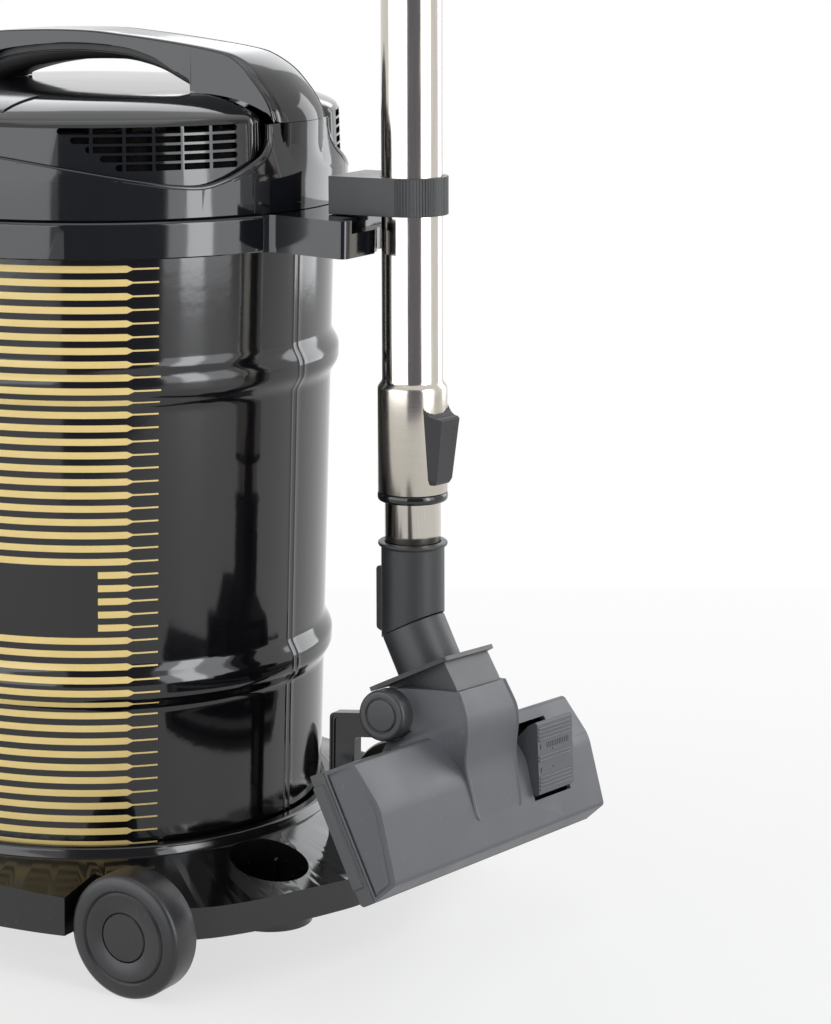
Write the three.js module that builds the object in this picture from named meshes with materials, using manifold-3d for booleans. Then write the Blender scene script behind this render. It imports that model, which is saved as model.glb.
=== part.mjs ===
// Drum vacuum cleaner with a steel tank on wheels, a lift-off motor head, and
// a telescopic wand and floor head parked at the back.
// Millimetres, +Z up. The tank's axis is x = y = 0 while the parts are drawn.
// The hose inlet faces -Y, the parked wand stands at +Y, and left is +X.
import * as THREE from 'three';
import { mergeVertices } from 'three/addons/utils/BufferGeometryUtils.js';
import Module from 'manifold-3d';

const wasm = await Module();
wasm.setup();

// ---- driving dimensions -------------------------------------------------
const clearance = 0.3; // gap kept between pieces that touch
const roundSegments = 28; // facets round the large revolved bodies
const tubeSegments = 20; // facets round the wand tubes and the motor
const smallSegments = 16; // facets round bosses, rollers and pins

const tank = {
  bottomZ: 62.3, topZ: 441, bottomRadius: 147.8, topRadius: 153.2, wall: 1.2,
  ribHeights: [164, 347], ribHalfWidth: 15, ribHeight: 4.9,
};
const collar = {
  bottomZ: tank.topZ - 18, topZ: tank.topZ + 4, radius: tank.topRadius + 9.8, bore: tank.topRadius + 1,
  lipBore: tank.topRadius - 9.2, lipThickness: 3.4, armReach: tank.topRadius + 60.8, armHalfWidth: 47,
  armRootHalfWidth: 56,
};
const inlet = { z: 255, boreRadius: 21, tubeRadius: 25.5, flangeRadius: 36, reach: tank.topRadius + 26.8, lip: 2.2 };

// The base grows with the tank that sits in it.
const girth = tank.bottomRadius / 147.8;
const base = {
  skirtBottomZ: 30, rimZ: 68, seatFloorZ: tank.bottomZ - clearance, seatInnerRadius: tank.bottomRadius + 2.6,
  seatOuterRadius: tank.bottomRadius + 8.7, slopeTopZ: 64.5, slopeEndRadius: 222 * girth, slopeEndZ: 48, wall: 3,
};
const cup = { x: 60, y: 173 * girth, innerRadius: 24, wall: 2.6, bottomZ: 22, ribs: 6, ribDepth: 2.6, ribTopZ: 48 };
const bracket = {
  postInnerY: 181 * girth, postOuterY: 198.7 * girth, topZ: 137.6, armDepth: 15.5, armSlope: 0.14,
  thickness: 8, webThickness: 4, flange: 2.6, socketDepth: 11, cradleGap: 0.8, tipSetback: 17, cornerRadius: 3.4,
};

const rearWheel = {
  radius: 37, width: 26, outerX: 172.3 * girth, y: 144.1 * girth, grooveRadius: 26.9, capRadius: 14.6, archGap: 4,
};
const rearAxle = { radius: 4, length: 49.5 };
const caster = {
  x: 86, y: -124, radius: 20, width: 16, trail: 15, stemRadius: 4.8, axleRadius: 2.5, forkWall: 2.4, sideGap: 0.6,
};

const head = {
  bottomZ: collar.topZ + 0.4, radius: collar.radius - 1.5, wall: 3, topZ: collar.topZ + 52.2,
  topRadius: collar.radius - 6, noseRadius: 65, noseHalfWidth: 39.3, noseY: collar.radius + 7.6,
  shoulderHalfWidth: 51.7, shoulderZ: collar.topZ + 24, floorHole: 44,
};
const dome = {
  wallRadius: head.radius - 2.5, wallTopRadius: head.radius - 5.9, crownZ: head.topZ + 17.3, wall: 2.6, floorGap: 0.55,
};
const vent = { rows: 5, topRowZ: head.topZ - 2.6, rowPitch: 5.3, slotHeight: 3.4, barHalfAngle: 0.42, leastSlot: 1.1 };
const handle = { topHalfWidth: 22, rootHalfWidth: 28, bevel: 3, gripHalfWidth: 17.5, gripDepth: 4, gripLip: 2.4 };
const motor = { casingRadius: 48, fanRadius: 60, housingRadius: 68, shaftRadius: 4, blades: 7, fanDepth: 19, height: 30 };
const latch = {
  halfWidth: 20, pivotRadius: collar.radius + 5.2, pivotZ: collar.bottomZ + 8, pinRadius: 1.8, topZ: collar.topZ + 21,
};
const button = {
  outline: [[103, 38], [138, 38], [142.5, 20], [142.5, -20], [138, -38], [103, -38], [96, -19], [93, 0], [96, 19]],
  bottomZ: 497, proud: 1.1,
};

const wand = {
  bendY: tank.topRadius + 82.8, bendZ: 200, lean: THREE.MathUtils.degToRad(1.07), twist: THREE.MathUtils.degToRad(-9.5),
  outerRadius: 17.5, innerRadius: 16, tubeWall: 1, swageRadius: 19.9, swageWall: 1.1,
  swageBottom: 81.5, swageTop: 143, outerTop: 650, innerBottom: 17, innerTop: 590,
  endRingHeight: 5.5,
};
const slider = { bottom: 86, top: 132, scoopRadius: 9 };
const clip = { bottom: 246.2, top: 268.6, wall: 4, boxDepth: 44, boxWall: 3.2, tongueDrop: 11, tongueHalf: 15, serrations: 18 };
const socket = { top: 51, rimHeight: 5, rimRadius: 19.3, radius: 18, bore: 16.4, airBore: 14.6, finReach: 26.2 };
const neck = {
  bend: THREE.MathUtils.degToRad(28.7), swivel: THREE.MathUtils.degToRad(-11),
  radius: 19.6, bore: 14.6, pivotAlong: 46.2, pivotBelow: 9.9,
};
const yoke = { radius: 36, halfWidth: 26.8, barrelRadius: 14.4, flangeBack: -18.6, flangeThickness: 2.6 };
const floorHead = {
  halfWidth: 134, ridgeInset: 3, wall: 2.4, rearY: 20.8, frontY: 97.4, soleZ: -12,
  frameTopZ: -2.6, ridgeRearZ: 16.3, creaseY: 50.4, creaseZ: 21.9, frontRidgeY: 95, frontRidgeZ: 12,
};
const hood = { innerHalfWidth: yoke.halfWidth + 0.6, partingY: 3.5, partingZ: 38.4, armTipY: -12.5, armTipZ: 6 };
const headWheel = { radius: 14.2, innerX: 45.3, outerX: 55, pinRadius: 3 };
const pedal = { x: -68.8, halfWidth: 21.2, pivotY: 54.5, pivotZ: 17.5, grooveRadius: 0.7 };

// ---- finishes -----------------------------------------------------------
const finish = (color, roughness, metalness = 0) =>
  new THREE.MeshStandardMaterial({ color, roughness, metalness });
const glossBlack = finish(0x0d0d0f, 0.16);
const lacquerBlack = finish(0x0a0a0b, 0.12);
const satinBlack = finish(0x1b1b1d, 0.45);
const graphite = finish(0x4b4b4e, 0.55);
const darkGraphite = finish(0x37373a, 0.5);
const steel = finish(0xb9b4aa, 0.3, 1);
const plainSteel = finish(0x9a9a98, 0.35, 1);
const rubber = finish(0x151515, 0.8);
const cloth = finish(0xd8d4c8, 0.95);
const foam = finish(0x2b2b2b, 1);
const bristle = finish(0x1f1f1f, 0.7);

// ---- solids: closed geometry in, booleans, closed geometry out ----------
function solid(geometry) {
  const bare = new THREE.BufferGeometry();
  bare.setAttribute('position', geometry.getAttribute('position').clone());
  if (geometry.index) bare.setIndex(geometry.index.clone());
  const merged = mergeVertices(bare, 1e-3);
  const corner = merged.getAttribute('position').array;
  const index = merged.index.array;
  const triangles = [];
  for (let i = 0; i < index.length; i += 3) {
    const [a, b, c] = [index[i], index[i + 1], index[i + 2]];
    if (a !== b && b !== c && c !== a) triangles.push(a, b, c);
  }
  let volume = 0;
  const at = (i) => new THREE.Vector3().fromArray(corner, 3 * i);
  for (let i = 0; i < triangles.length; i += 3) {
    const [a, b, c] = [at(triangles[i]), at(triangles[i + 1]), at(triangles[i + 2])];
    volume += a.dot(b.cross(c));
  }
  if (volume < 0) {
    for (let i = 0; i < triangles.length; i += 3) {
      [triangles[i + 1], triangles[i + 2]] = [triangles[i + 2], triangles[i + 1]];
    }
  }
  return new wasm.Manifold(new wasm.Mesh({
    numProp: 3,
    vertProperties: Float32Array.from(corner),
    triVerts: Uint32Array.from(triangles),
  }));
}

function geometryOf(body) {
  const mesh = body.getMesh();
  const geometry = new THREE.BufferGeometry();
  geometry.setAttribute('position', new THREE.BufferAttribute(Float32Array.from(mesh.vertProperties), 3));
  geometry.setIndex(new THREE.BufferAttribute(Uint32Array.from(mesh.triVerts), 1));
  const flat = geometry.toNonIndexed();
  flat.computeVertexNormals();
  return flat;
}

const union = (...bodies) => bodies.reduce((sum, body) => sum.add(body));
const cut = (body, ...tools) => tools.reduce((rest, tool) => rest.subtract(tool), body);

// A body revolved about Z from [radius, z] points.
function revolve(profile, segments = roundSegments) {
  const closed = [...profile, profile[0]].map(([r, z]) => new THREE.Vector2(Math.max(r, 0), z));
  return solid(new THREE.LatheGeometry(closed, segments).rotateX(Math.PI / 2));
}

const disc = (radius, z0, z1, segments = smallSegments) =>
  revolve([[0, z0], [radius, z0], [radius, z1], [0, z1]], segments);

const ring = (inner, outer, z0, z1, segments = smallSegments) =>
  revolve([[inner, z0], [outer, z0], [outer, z1], [inner, z1]], segments);

function block(x0, x1, y0, y1, z0, z1) {
  const box = new THREE.BoxGeometry(x1 - x0, y1 - y0, z1 - z0);
  return solid(box.translate((x0 + x1) / 2, (y0 + y1) / 2, (z0 + z1) / 2));
}

// The same body laid along X or Y instead of Z.
const alongX = (body) => body.rotate([0, 90, 0]);
const alongY = (body) => body.rotate([-90, 0, 0]);

const shapeOf = (points) => new THREE.Shape(points.map(([a, b]) => new THREE.Vector2(a, b)));

// A plan outline in (x, y), raised from z0 to z1.
function prism(points, z0, z1) {
  const geometry = new THREE.ExtrudeGeometry(shapeOf(points), { depth: z1 - z0, bevelEnabled: false });
  return solid(geometry.translate(0, 0, z0));
}

// A side outline in (y, z), extruded from x0 to x1.
function sideGeometry(points, x0, x1, options = {}) {
  const settings = { depth: x1 - x0, bevelEnabled: false, ...options };
  const geometry = new THREE.ExtrudeGeometry(shapeOf(points), settings);
  const turn = new THREE.Matrix4().makeBasis(
    new THREE.Vector3(0, 1, 0), new THREE.Vector3(0, 0, 1), new THREE.Vector3(1, 0, 0));
  return geometry.applyMatrix4(turn).translate(x0, 0, 0);
}
const sidePrism = (points, x0, x1) => solid(sideGeometry(points, x0, x1));

// A closed body through rings of equal point count, with fan caps.
function loft(rings) {
  const count = rings[0].length;
  const corners = rings.flat();
  const index = [];
  for (let r = 0; r + 1 < rings.length; r += 1) {
    for (let i = 0; i < count; i += 1) {
      const j = (i + 1) % count;
      const [a, b, c, d] = [r * count + i, r * count + j, (r + 1) * count + i, (r + 1) * count + j];
      index.push(a, b, d, a, d, c);
    }
  }
  const cap = (ringIndex, flip) => {
    const centre = new THREE.Vector3();
    rings[ringIndex].forEach((p) => centre.add(p));
    corners.push(centre.divideScalar(count));
    const hub = corners.length - 1;
    for (let i = 0; i < count; i += 1) {
      const [a, b] = [ringIndex * count + i, ringIndex * count + ((i + 1) % count)];
      index.push(...(flip ? [hub, b, a] : [hub, a, b]));
    }
  };
  cap(0, true);
  cap(rings.length - 1, false);
  const geometry = new THREE.BufferGeometry().setFromPoints(corners);
  geometry.setIndex(index);
  return solid(geometry);
}

function deform(geometry, move) {
  const position = geometry.getAttribute('position');
  const point = new THREE.Vector3();
  for (let i = 0; i < position.count; i += 1) {
    point.fromBufferAttribute(position, i);
    move(point);
    position.setXYZ(i, point.x, point.y, point.z);
  }
  return geometry;
}

const arcPoints = (cx, cy, radius, fromDegrees, toDegrees, steps) =>
  Array.from({ length: steps + 1 }, (_, i) => {
    const angle = THREE.MathUtils.degToRad(fromDegrees + ((toDegrees - fromDegrees) * i) / steps);
    return [cx + radius * Math.cos(angle), cy + radius * Math.sin(angle)];
  });

const mirrorX = (body) => body.mirror([1, 0, 0]);
const pi = Math.PI;

// ---- the scene graph ----------------------------------------------------
const vacuum = new THREE.Group();
const place = (name, body, material, parent = vacuum) => {
  const mesh = new THREE.Mesh(geometryOf(body), material);
  mesh.name = name;
  parent.add(mesh);
  return mesh;
};

// ---- tank ---------------------------------------------------------------
const tankRadiusAt = (z) => THREE.MathUtils.mapLinear(
  z, tank.bottomZ, tank.topZ, tank.bottomRadius, tank.topRadius);

// Outer skin from foot to rim, with a flat-topped swelling at each rib.
function tankSkin(offset) {
  const skin = [[tankRadiusAt(tank.bottomZ) + offset, tank.bottomZ]];
  for (const z of tank.ribHeights) {
    for (const [share, swell] of [[-1, 0], [-0.25, 1], [0.25, 1], [1, 0]]) {
      const height = z + share * tank.ribHalfWidth;
      skin.push([tankRadiusAt(height) + offset + swell * tank.ribHeight, height]);
    }
  }
  skin.push([tankRadiusAt(tank.topZ) + offset, tank.topZ]);
  return skin;
}

function tankShell() {
  const outer = tankSkin(0);
  const inner = tankSkin(-tank.wall).reverse();
  inner[inner.length - 1][1] += tank.wall;
  const shell = revolve([[0, tank.bottomZ], ...outer, ...inner, [0, tank.bottomZ + tank.wall]]);
  const hole = alongY(disc(inlet.tubeRadius + clearance, -tank.topRadius - 20, -tank.topRadius + 40));
  return cut(shell, hole.translate([0, 0, inlet.z]));
}
place('tank_shell', tankShell(), lacquerBlack);

function hoseInlet() {
  const flange = disc(inlet.flangeRadius, -inlet.reach + 16, -140);
  const tankBody = revolve([[0, tank.bottomZ], ...tankSkin(1.9), [0, tank.topZ]]);
  const tube = disc(inlet.tubeRadius, -inlet.reach, -136);
  const lip = ring(inlet.boreRadius, inlet.tubeRadius + inlet.lip, -inlet.reach, -inlet.reach + 4);
  const bore = disc(inlet.boreRadius, -inlet.reach - 5, -130);
  const flangeBody = alongY(flange).translate([0, 0, inlet.z]).subtract(tankBody);
  return cut(
    union(flangeBody, alongY(union(tube, lip)).translate([0, 0, inlet.z])),
    alongY(bore).translate([0, 0, inlet.z]));
}
place('hose_inlet', hoseInlet(), satinBlack);

function inletGasket() {
  const outside = revolve([[0, tank.bottomZ], ...tankSkin(1.6), [0, tank.topZ]]);
  const inside = revolve([[0, tank.bottomZ - 5], ...tankSkin(clearance), [0, tank.topZ + 5]]);
  const sleeve = alongY(ring(inlet.tubeRadius + clearance, inlet.flangeRadius - 1, -170, -130));
  return cut(outside.intersect(sleeve.translate([0, 0, inlet.z])), inside);
}
place('inlet_gasket', inletGasket(), rubber);

// ---- base chassis -------------------------------------------------------
// Right half of the plan outline, rear to front, smoothed by a spline.
const baseHalfOutline = [
  [0, 222], [30, 219.5], [50, 213.5], [72, 205], [105, 190.5], [133, 171.5], [158, 140], [175, 95],
  [183, 45], [184, 0], [179, -50], [166, -98], [143, -142], [108, -177], [62, -199], [0, -207],
];

function baseOutline(inset) {
  const right = baseHalfOutline.map(([x, y]) => new THREE.Vector3(x * girth, y * girth, 0));
  const left = right.slice(1, -1).reverse().map((p) => new THREE.Vector3(-p.x, p.y, 0));
  const curve = new THREE.CatmullRomCurve3([...right, ...left], true, 'centripetal');
  const points = curve.getPoints(36).slice(0, -1);
  return points.map((p) => {
    const length = p.length();
    return [p.x * (1 - inset / length), p.y * (1 - inset / length)];
  });
}

const slopeZ = (radius) => THREE.MathUtils.mapLinear(
  radius, base.seatOuterRadius, base.slopeEndRadius, base.slopeTopZ, base.slopeEndZ);

const baseTopProfile = (drop) => [
  [0, base.seatFloorZ - drop], [base.seatInnerRadius + drop, base.seatFloorZ - drop],
  [base.seatOuterRadius + 6, slopeZ(base.seatOuterRadius + 6) - drop],
  [240 * girth, slopeZ(240 * girth) - drop], [240 * girth, base.skirtBottomZ - 20 * Math.sign(drop)],
  [0, base.skirtBottomZ - 20 * Math.sign(drop)],
];

const postFootZ = base.seatFloorZ - 2 - bracket.socketDepth;

const axleInnerX = rearWheel.outerX - 3.8 - rearAxle.length;

function chassis() {
  const outer = revolve(baseTopProfile(0)).intersect(prism(baseOutline(0), base.skirtBottomZ, 90));
  const cavity = revolve(baseTopProfile(base.wall))
    .intersect(prism(baseOutline(base.wall), base.skirtBottomZ - 5, 90));
  const seatRing = revolve([
    [base.seatInnerRadius, base.seatFloorZ - 1], [base.seatOuterRadius + 3, base.seatFloorZ - 1],
    [base.seatOuterRadius, base.rimZ - 1.5], [base.seatOuterRadius - 1.5, base.rimZ],
    [base.seatInnerRadius, base.rimZ],
  ]);
  let body = union(cut(outer, cavity), seatRing);
  const archY0 = rearWheel.y - rearWheel.radius - rearWheel.archGap;
  const archY1 = rearWheel.y + rearWheel.radius + rearWheel.archGap;
  const archX = rearWheel.outerX - rearWheel.width - 3.5;
  for (const side of [1, -1]) {
    const mirrored = (part) => (side > 0 ? part : mirrorX(part));
    const notch = block(archX, 240, archY0, archY1, 0, 90);
    const liner = block(archX - base.wall, 240, archY0 - base.wall, archY1 + base.wall, 0, 90);
    body = union(body, mirrored(liner.intersect(outer)));
    body = cut(body, mirrored(notch));
    const boss = alongX(disc(9, axleInnerX - 3, archX)).translate([0, rearWheel.y, rearWheel.radius]);
    const web = block(axleInnerX - 3, archX - 1, rearWheel.y - 3, rearWheel.y + 3, rearWheel.radius, 66);
    const axleBore = alongX(disc(rearAxle.radius + 0.1, axleInnerX - 0.5, 240))
      .translate([0, rearWheel.y, rearWheel.radius]);
    body = union(body, mirrored(boss), mirrored(web.intersect(outer)));
    body = cut(body, mirrored(axleBore));
    const stemBoss = disc(11, 47, base.seatFloorZ - 1).translate([caster.x, caster.y, 0]);
    const stemBore = disc(caster.stemRadius + 0.1, 40, 58).translate([caster.x, caster.y, 0]);
    body = cut(union(body, mirrored(stemBoss)), mirrored(stemBore));
    body = cut(union(body, mirrored(holderCup(outer))), mirrored(holderHole()));
  }
  const postSocket = block(-bracket.thickness / 2 - 3, bracket.thickness / 2 + 3,
    bracket.postInnerY - 3, bracket.postOuterY + 3, postFootZ - 3, base.seatFloorZ - 1);
  const postHole = block(-bracket.thickness / 2 - clearance, bracket.thickness / 2 + clearance,
    bracket.postInnerY - clearance, bracket.postOuterY + clearance, postFootZ, 90);
  return cut(union(body, postSocket), postHole);
}

// Accessory holder: a cup sunk in the sloping top, with short ribs that grip.
function holderCup(outer) {
  const tube = disc(cup.innerRadius + cup.wall, cup.bottomZ, 80).translate([cup.x, cup.y, 0]);
  const topTrim = revolve([[0, 90], [0, base.seatFloorZ - 1], [base.seatInnerRadius, base.seatFloorZ - 1],
    [base.seatOuterRadius + 6, slopeZ(base.seatOuterRadius + 6)], [240 * girth, slopeZ(240 * girth)], [240 * girth, 90]]);
  return cut(tube, topTrim);
}

function holderHole() {
  const hole = disc(cup.innerRadius, cup.bottomZ + cup.wall, 90);
  let ribs = null;
  for (let i = 0; i < cup.ribs; i += 1) {
    const angle = ((i + 0.5) * 360) / cup.ribs;
    const rib = block(cup.innerRadius - cup.ribDepth, cup.innerRadius + 1, -1, 1, cup.bottomZ, cup.ribTopZ).rotate([0, 0, angle]);
    ribs = ribs ? union(ribs, rib) : rib;
  }
  return cut(hole, ribs).translate([cup.x, cup.y, 0]);
}
place('base_chassis', chassis(), glossBlack);

// ---- running gear -------------------------------------------------------
function wheelBody() {
  const { radius, width, grooveRadius, capRadius } = rearWheel;
  const w = width;
  const profile = [
    [rearAxle.radius + 0.1, 2], [radius - 3.5, 2], [radius, 5], [radius, w - 3.5], [radius - 2.8, w - 0.3],
    [grooveRadius + 1.1, w], [grooveRadius, w - 1.2], [grooveRadius - 1.1, w], [capRadius + 0.4, w - 0.6],
    [capRadius + 0.4, w - 3.4], [rearAxle.radius + 0.1, w - 3.4],
  ];
  return revolve(profile, tubeSegments);
}
for (const [side, sign] of [['left', 1], ['right', -1]]) {
  const flip = (body) => (sign > 0 ? body : mirrorX(body));
  const at = [0, rearWheel.y, rearWheel.radius];
  const inner = rearWheel.outerX - rearWheel.width;
  place(`rear_wheel_${side}`, flip(alongX(wheelBody()).translate([inner, 0, 0])).translate(at), satinBlack);
  const axle = disc(rearAxle.radius, axleInnerX, axleInnerX + rearAxle.length);
  place(`rear_axle_${side}`, flip(alongX(axle)).translate(at), plainSteel);
  const x1 = rearWheel.outerX;
  const cap = revolve([[0, x1 - 3.1], [rearWheel.capRadius, x1 - 3.1], [rearWheel.capRadius, x1 - 1.4],
    [rearWheel.capRadius - 1, x1 - 0.6], [0, x1 - 0.2]], tubeSegments);
  place(`rear_wheel_cap_${side}`, flip(alongX(cap)).translate(at), satinBlack);
}

function casterFork() {
  const halfGap = caster.width / 2 + caster.sideGap;
  const reach = halfGap + caster.forkWall;
  const crown = block(-reach, reach, -9, caster.trail + 5, 41.6, 44.6);
  const stem = disc(caster.stemRadius, 44, 57.6);
  const shoulder = disc(9, 44.4, 46.6, 12);
  const leg = sidePrism([
    [-9, 43], [caster.trail + 5, 43], [caster.trail + 5, caster.radius - 4], [caster.trail - 5, caster.radius - 4],
  ], halfGap, reach);
  const axleBore = alongX(disc(caster.axleRadius + 0.1, -20, 20, 12)).translate([0, caster.trail, caster.radius]);
  return cut(union(crown, stem, shoulder, leg, mirrorX(leg)), axleBore);
}
for (const [side, sign] of [['left', 1], ['right', -1]]) {
  const at = [sign * caster.x, caster.y, 0];
  place(`caster_fork_${side}`, casterFork().translate(at), satinBlack);
  const w = caster.width / 2;
  const roller = revolve([
    [caster.axleRadius + 0.15, -w], [caster.radius - 2, -w], [caster.radius, -w + 2],
    [caster.radius, w - 2], [caster.radius - 2, w], [caster.axleRadius + 0.15, w],
  ], smallSegments);
  const centre = [at[0], at[1] + caster.trail, caster.radius];
  place(`caster_wheel_${side}`, alongX(roller).translate(centre), satinBlack);
  const pin = disc(caster.axleRadius, -w - 3, w + 3, 12);
  place(`caster_axle_${side}`, alongX(pin).translate(centre), plainSteel);
}

// ---- collar ring with the arm that holds the parked wand ------------------
const wandYAt = (z) => wand.bendY - Math.tan(wand.lean) * (z - wand.bendZ);

function collarRing() {
  const { bottomZ, topZ, radius, bore, lipBore, lipThickness } = collar;
  const hoop = revolve([
    [bore, bottomZ], [radius - 0.8, bottomZ], [radius, bottomZ + 0.8], [radius, topZ - 1.6],
    [radius - 1.6, topZ], [lipBore + 4, topZ], [lipBore + 4, topZ - lipThickness + 0.6],
    [lipBore, topZ - lipThickness + 0.6], [lipBore, topZ - lipThickness - 2.2],
    [lipBore + 3, topZ - lipThickness - 2.2], [lipBore + 3, topZ - lipThickness], [bore, topZ - lipThickness],
  ]);
  const armOutline = [
    [-collar.armRootHalfWidth, radius - 13], [collar.armRootHalfWidth, radius - 13], [collar.armHalfWidth + 1, collar.armReach - 4],
    [collar.armHalfWidth - 4, collar.armReach], [-collar.armHalfWidth + 4, collar.armReach],
    [-collar.armHalfWidth - 1, collar.armReach - 4],
  ];
  const arm = prism(armOutline, bottomZ, topZ);
  const hollow = armOutline.map(([x, y]) => [x * 0.9, y > radius ? y - 4 : y]);
  const armShell = cut(arm, prism(hollow, bottomZ - 1, topZ - 3.2), disc(bore + 3, bottomZ - 1, topZ + 1, roundSegments));
  const slotHalf = clip.tongueHalf + 2;
  const slot = block(-slotHalf, slotHalf, tongueY0() - 1.2, tongueY1() + 1.2, bottomZ - 1, topZ + 1);
  const slotWall = block(-slotHalf - 3, slotHalf + 3, tongueY0() - 4.2, tongueY1() + 4.2, bottomZ + 1, topZ - 1);
  const tubeNotch = disc(wand.swageRadius + 1.4, bottomZ - 1, topZ + 1).translate([0, wandYAt(topZ), 0]);
  const lugRadius = 2.7;
  const lugNose = alongY(disc(lugRadius, -13, 13)).translate([latch.pivotRadius, 0, latch.pivotZ]);
  const lugRoot = block(radius - 4, latch.pivotRadius, -13, 13, latch.pivotZ - lugRadius, latch.pivotZ + lugRadius);
  const lug = union(lugNose, lugRoot);
  const pinHole = alongY(disc(latch.pinRadius + 0.1, -30, 30, 16)).translate([latch.pivotRadius, 0, latch.pivotZ]);
  const lugs = cut(lug, pinHole);
  return cut(union(hoop, armShell, slotWall, lugs, mirrorX(lugs)), slot, tubeNotch);
}
const clipAxisY = () => wandYAt(wand.bendZ + clip.bottom);
const tongueY0 = () => clipAxisY() - clip.boxDepth + 4.5;
const tongueY1 = () => clipAxisY() - clip.boxDepth + 14.5;
place('collar_ring', collarRing(), glossBlack);

// ---- latches at the two sides ---------------------------------------------
function latchLever() {
  const [x0, z0, z1] = [latch.pivotRadius, latch.pivotZ, latch.topZ];
  const plate = sidePrismXZ([
    [x0 + 3, z0 - 4.5], [x0 + 3, z0 + 4.6], [x0 + 0.2, z0 + 6.8], [x0 + 0.2, z1 - 3.2], [x0 - 5.6, z1 - 3.2],
    [x0 - 5.6, z1], [x0 + 2, z1 + 0.8], [x0 + 3.8, z1 - 2], [x0 + 5.4, z0 + 5], [x0 + 5.6, z0],
    [x0 + 6.2, z0 - 4.5],
  ], -latch.halfWidth, latch.halfWidth);
  const ear = sidePrismXZ([
    [latch.pivotRadius - 2.8, latch.pivotZ - 2.8], [latch.pivotRadius + 5, latch.pivotZ - 3.5],
    [latch.pivotRadius + 5, latch.pivotZ + 9], [latch.pivotRadius + 0.2, latch.pivotZ + 9],
    [latch.pivotRadius - 2.8, latch.pivotZ + 2.8],
  ], 13.6, latch.halfWidth);
  const pinHole = alongY(disc(latch.pinRadius + 0.1, -30, 30, 16)).translate([latch.pivotRadius, 0, latch.pivotZ]);
  return cut(union(plate, ear, ear.mirror([0, 1, 0])), pinHole);
}

// A profile in (x, z), extruded along Y.
function sidePrismXZ(points, y0, y1) {
  const flipped = points.map(([x, z]) => [x, -z]);
  return prism(flipped, y0, y1).rotate([-90, 0, 0]);
}
for (const [side, sign] of [['left', 1], ['right', -1]]) {
  const flip = (body) => (sign > 0 ? body : mirrorX(body));
  place(`latch_${side}`, flip(latchLever()), glossBlack);
  const pin = alongY(disc(latch.pinRadius, -latch.halfWidth + 1, latch.halfWidth - 1, 12));
  place(`latch_pin_${side}`, flip(pin.translate([latch.pivotRadius, 0, latch.pivotZ])), plainSteel);
}

// ---- filter in the tank ---------------------------------------------------
const filterSeatZ = collar.topZ - collar.lipThickness + 0.6 + clearance;
place('filter_ring', revolve([
  [112, filterSeatZ - 6], [116, filterSeatZ - 6], [116, filterSeatZ], [collar.lipBore + 3.6, filterSeatZ],
  [collar.lipBore + 3.6, collar.topZ - 0.2], [112, collar.topZ - 0.2],
]), satinBlack);

function filterCage() {
  const wall = revolve([
    [88, 330], [92, 330], [111, filterSeatZ - 6.4], [111, collar.topZ - 0.4], [108, collar.topZ - 0.4],
    [107.4, filterSeatZ - 6.4],
  ], tubeSegments);
  let body = union(wall, ring(60, 90, 330, 333));
  for (let i = 0; i < 6; i += 1) {
    const window = block(70, 120, -42, 42, 342, filterSeatZ - 18).rotate([0, 0, i * 60]);
    body = cut(body, window);
  }
  return body;
}
place('filter_cage', filterCage(), satinBlack);

place('filter_bag', revolve([
  [0, 324], [94, 324], [115.4, filterSeatZ - 6 - clearance], [112.9, filterSeatZ - 6 - clearance], [92.8, 327], [0, 327],
], tubeSegments), cloth);

// ---- motor head: lower housing ---------------------------------------------
// Height of the swept edge between housing and dome at each bearing from +X.
const sweptEdge = new THREE.SplineCurve([
  [-64, 496.6], [-45, 492.5], [-20, 489.5], [0, 486], [17, 481], [31, 475], [45, 468.3], [54, 464.6],
  [60, 464], [66, 466.5], [71, 472.5], [74, 480], [75.6, 489], [76, 498],
].map(([x, y]) => new THREE.Vector2(x, y)));

// The wall band above (or below) the swept edge, on the left side.
function edgeBand(offset, above) {
  const rings = sweptEdge.getPoints(24).map(({ x: bearing, y: z }) => {
    const angle = THREE.MathUtils.degToRad(bearing);
    const [c, s] = [Math.cos(angle), Math.sin(angle)];
    const [z0, z1] = above ? [z + offset, head.topZ + 100] : [head.bottomZ - 15, z + offset];
    const [r0, r1] = [head.radius - 21.5, head.radius + 18.5];
    return [[r0, z0], [r1, z0], [r1, z1], [r0, z1]].map(([r, h]) => new THREE.Vector3(r * c, r * s, h));
  });
  return loft(rings);
}

const noseOutline = (inset) => {
  const half = head.noseHalfWidth - inset;
  const cy = head.noseY - head.noseRadius;
  const swing = THREE.MathUtils.radToDeg(Math.asin(half / (head.noseRadius - inset)));
  return [[-half, cy + 14], [half, cy + 14], ...arcPoints(0, cy, head.noseRadius - inset, 90 - swing, 90 + swing, 10)];
};

const gland = { bearing: 215, z: head.bottomZ + 13.6, radius: 5, bore: 2.6 };

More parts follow.
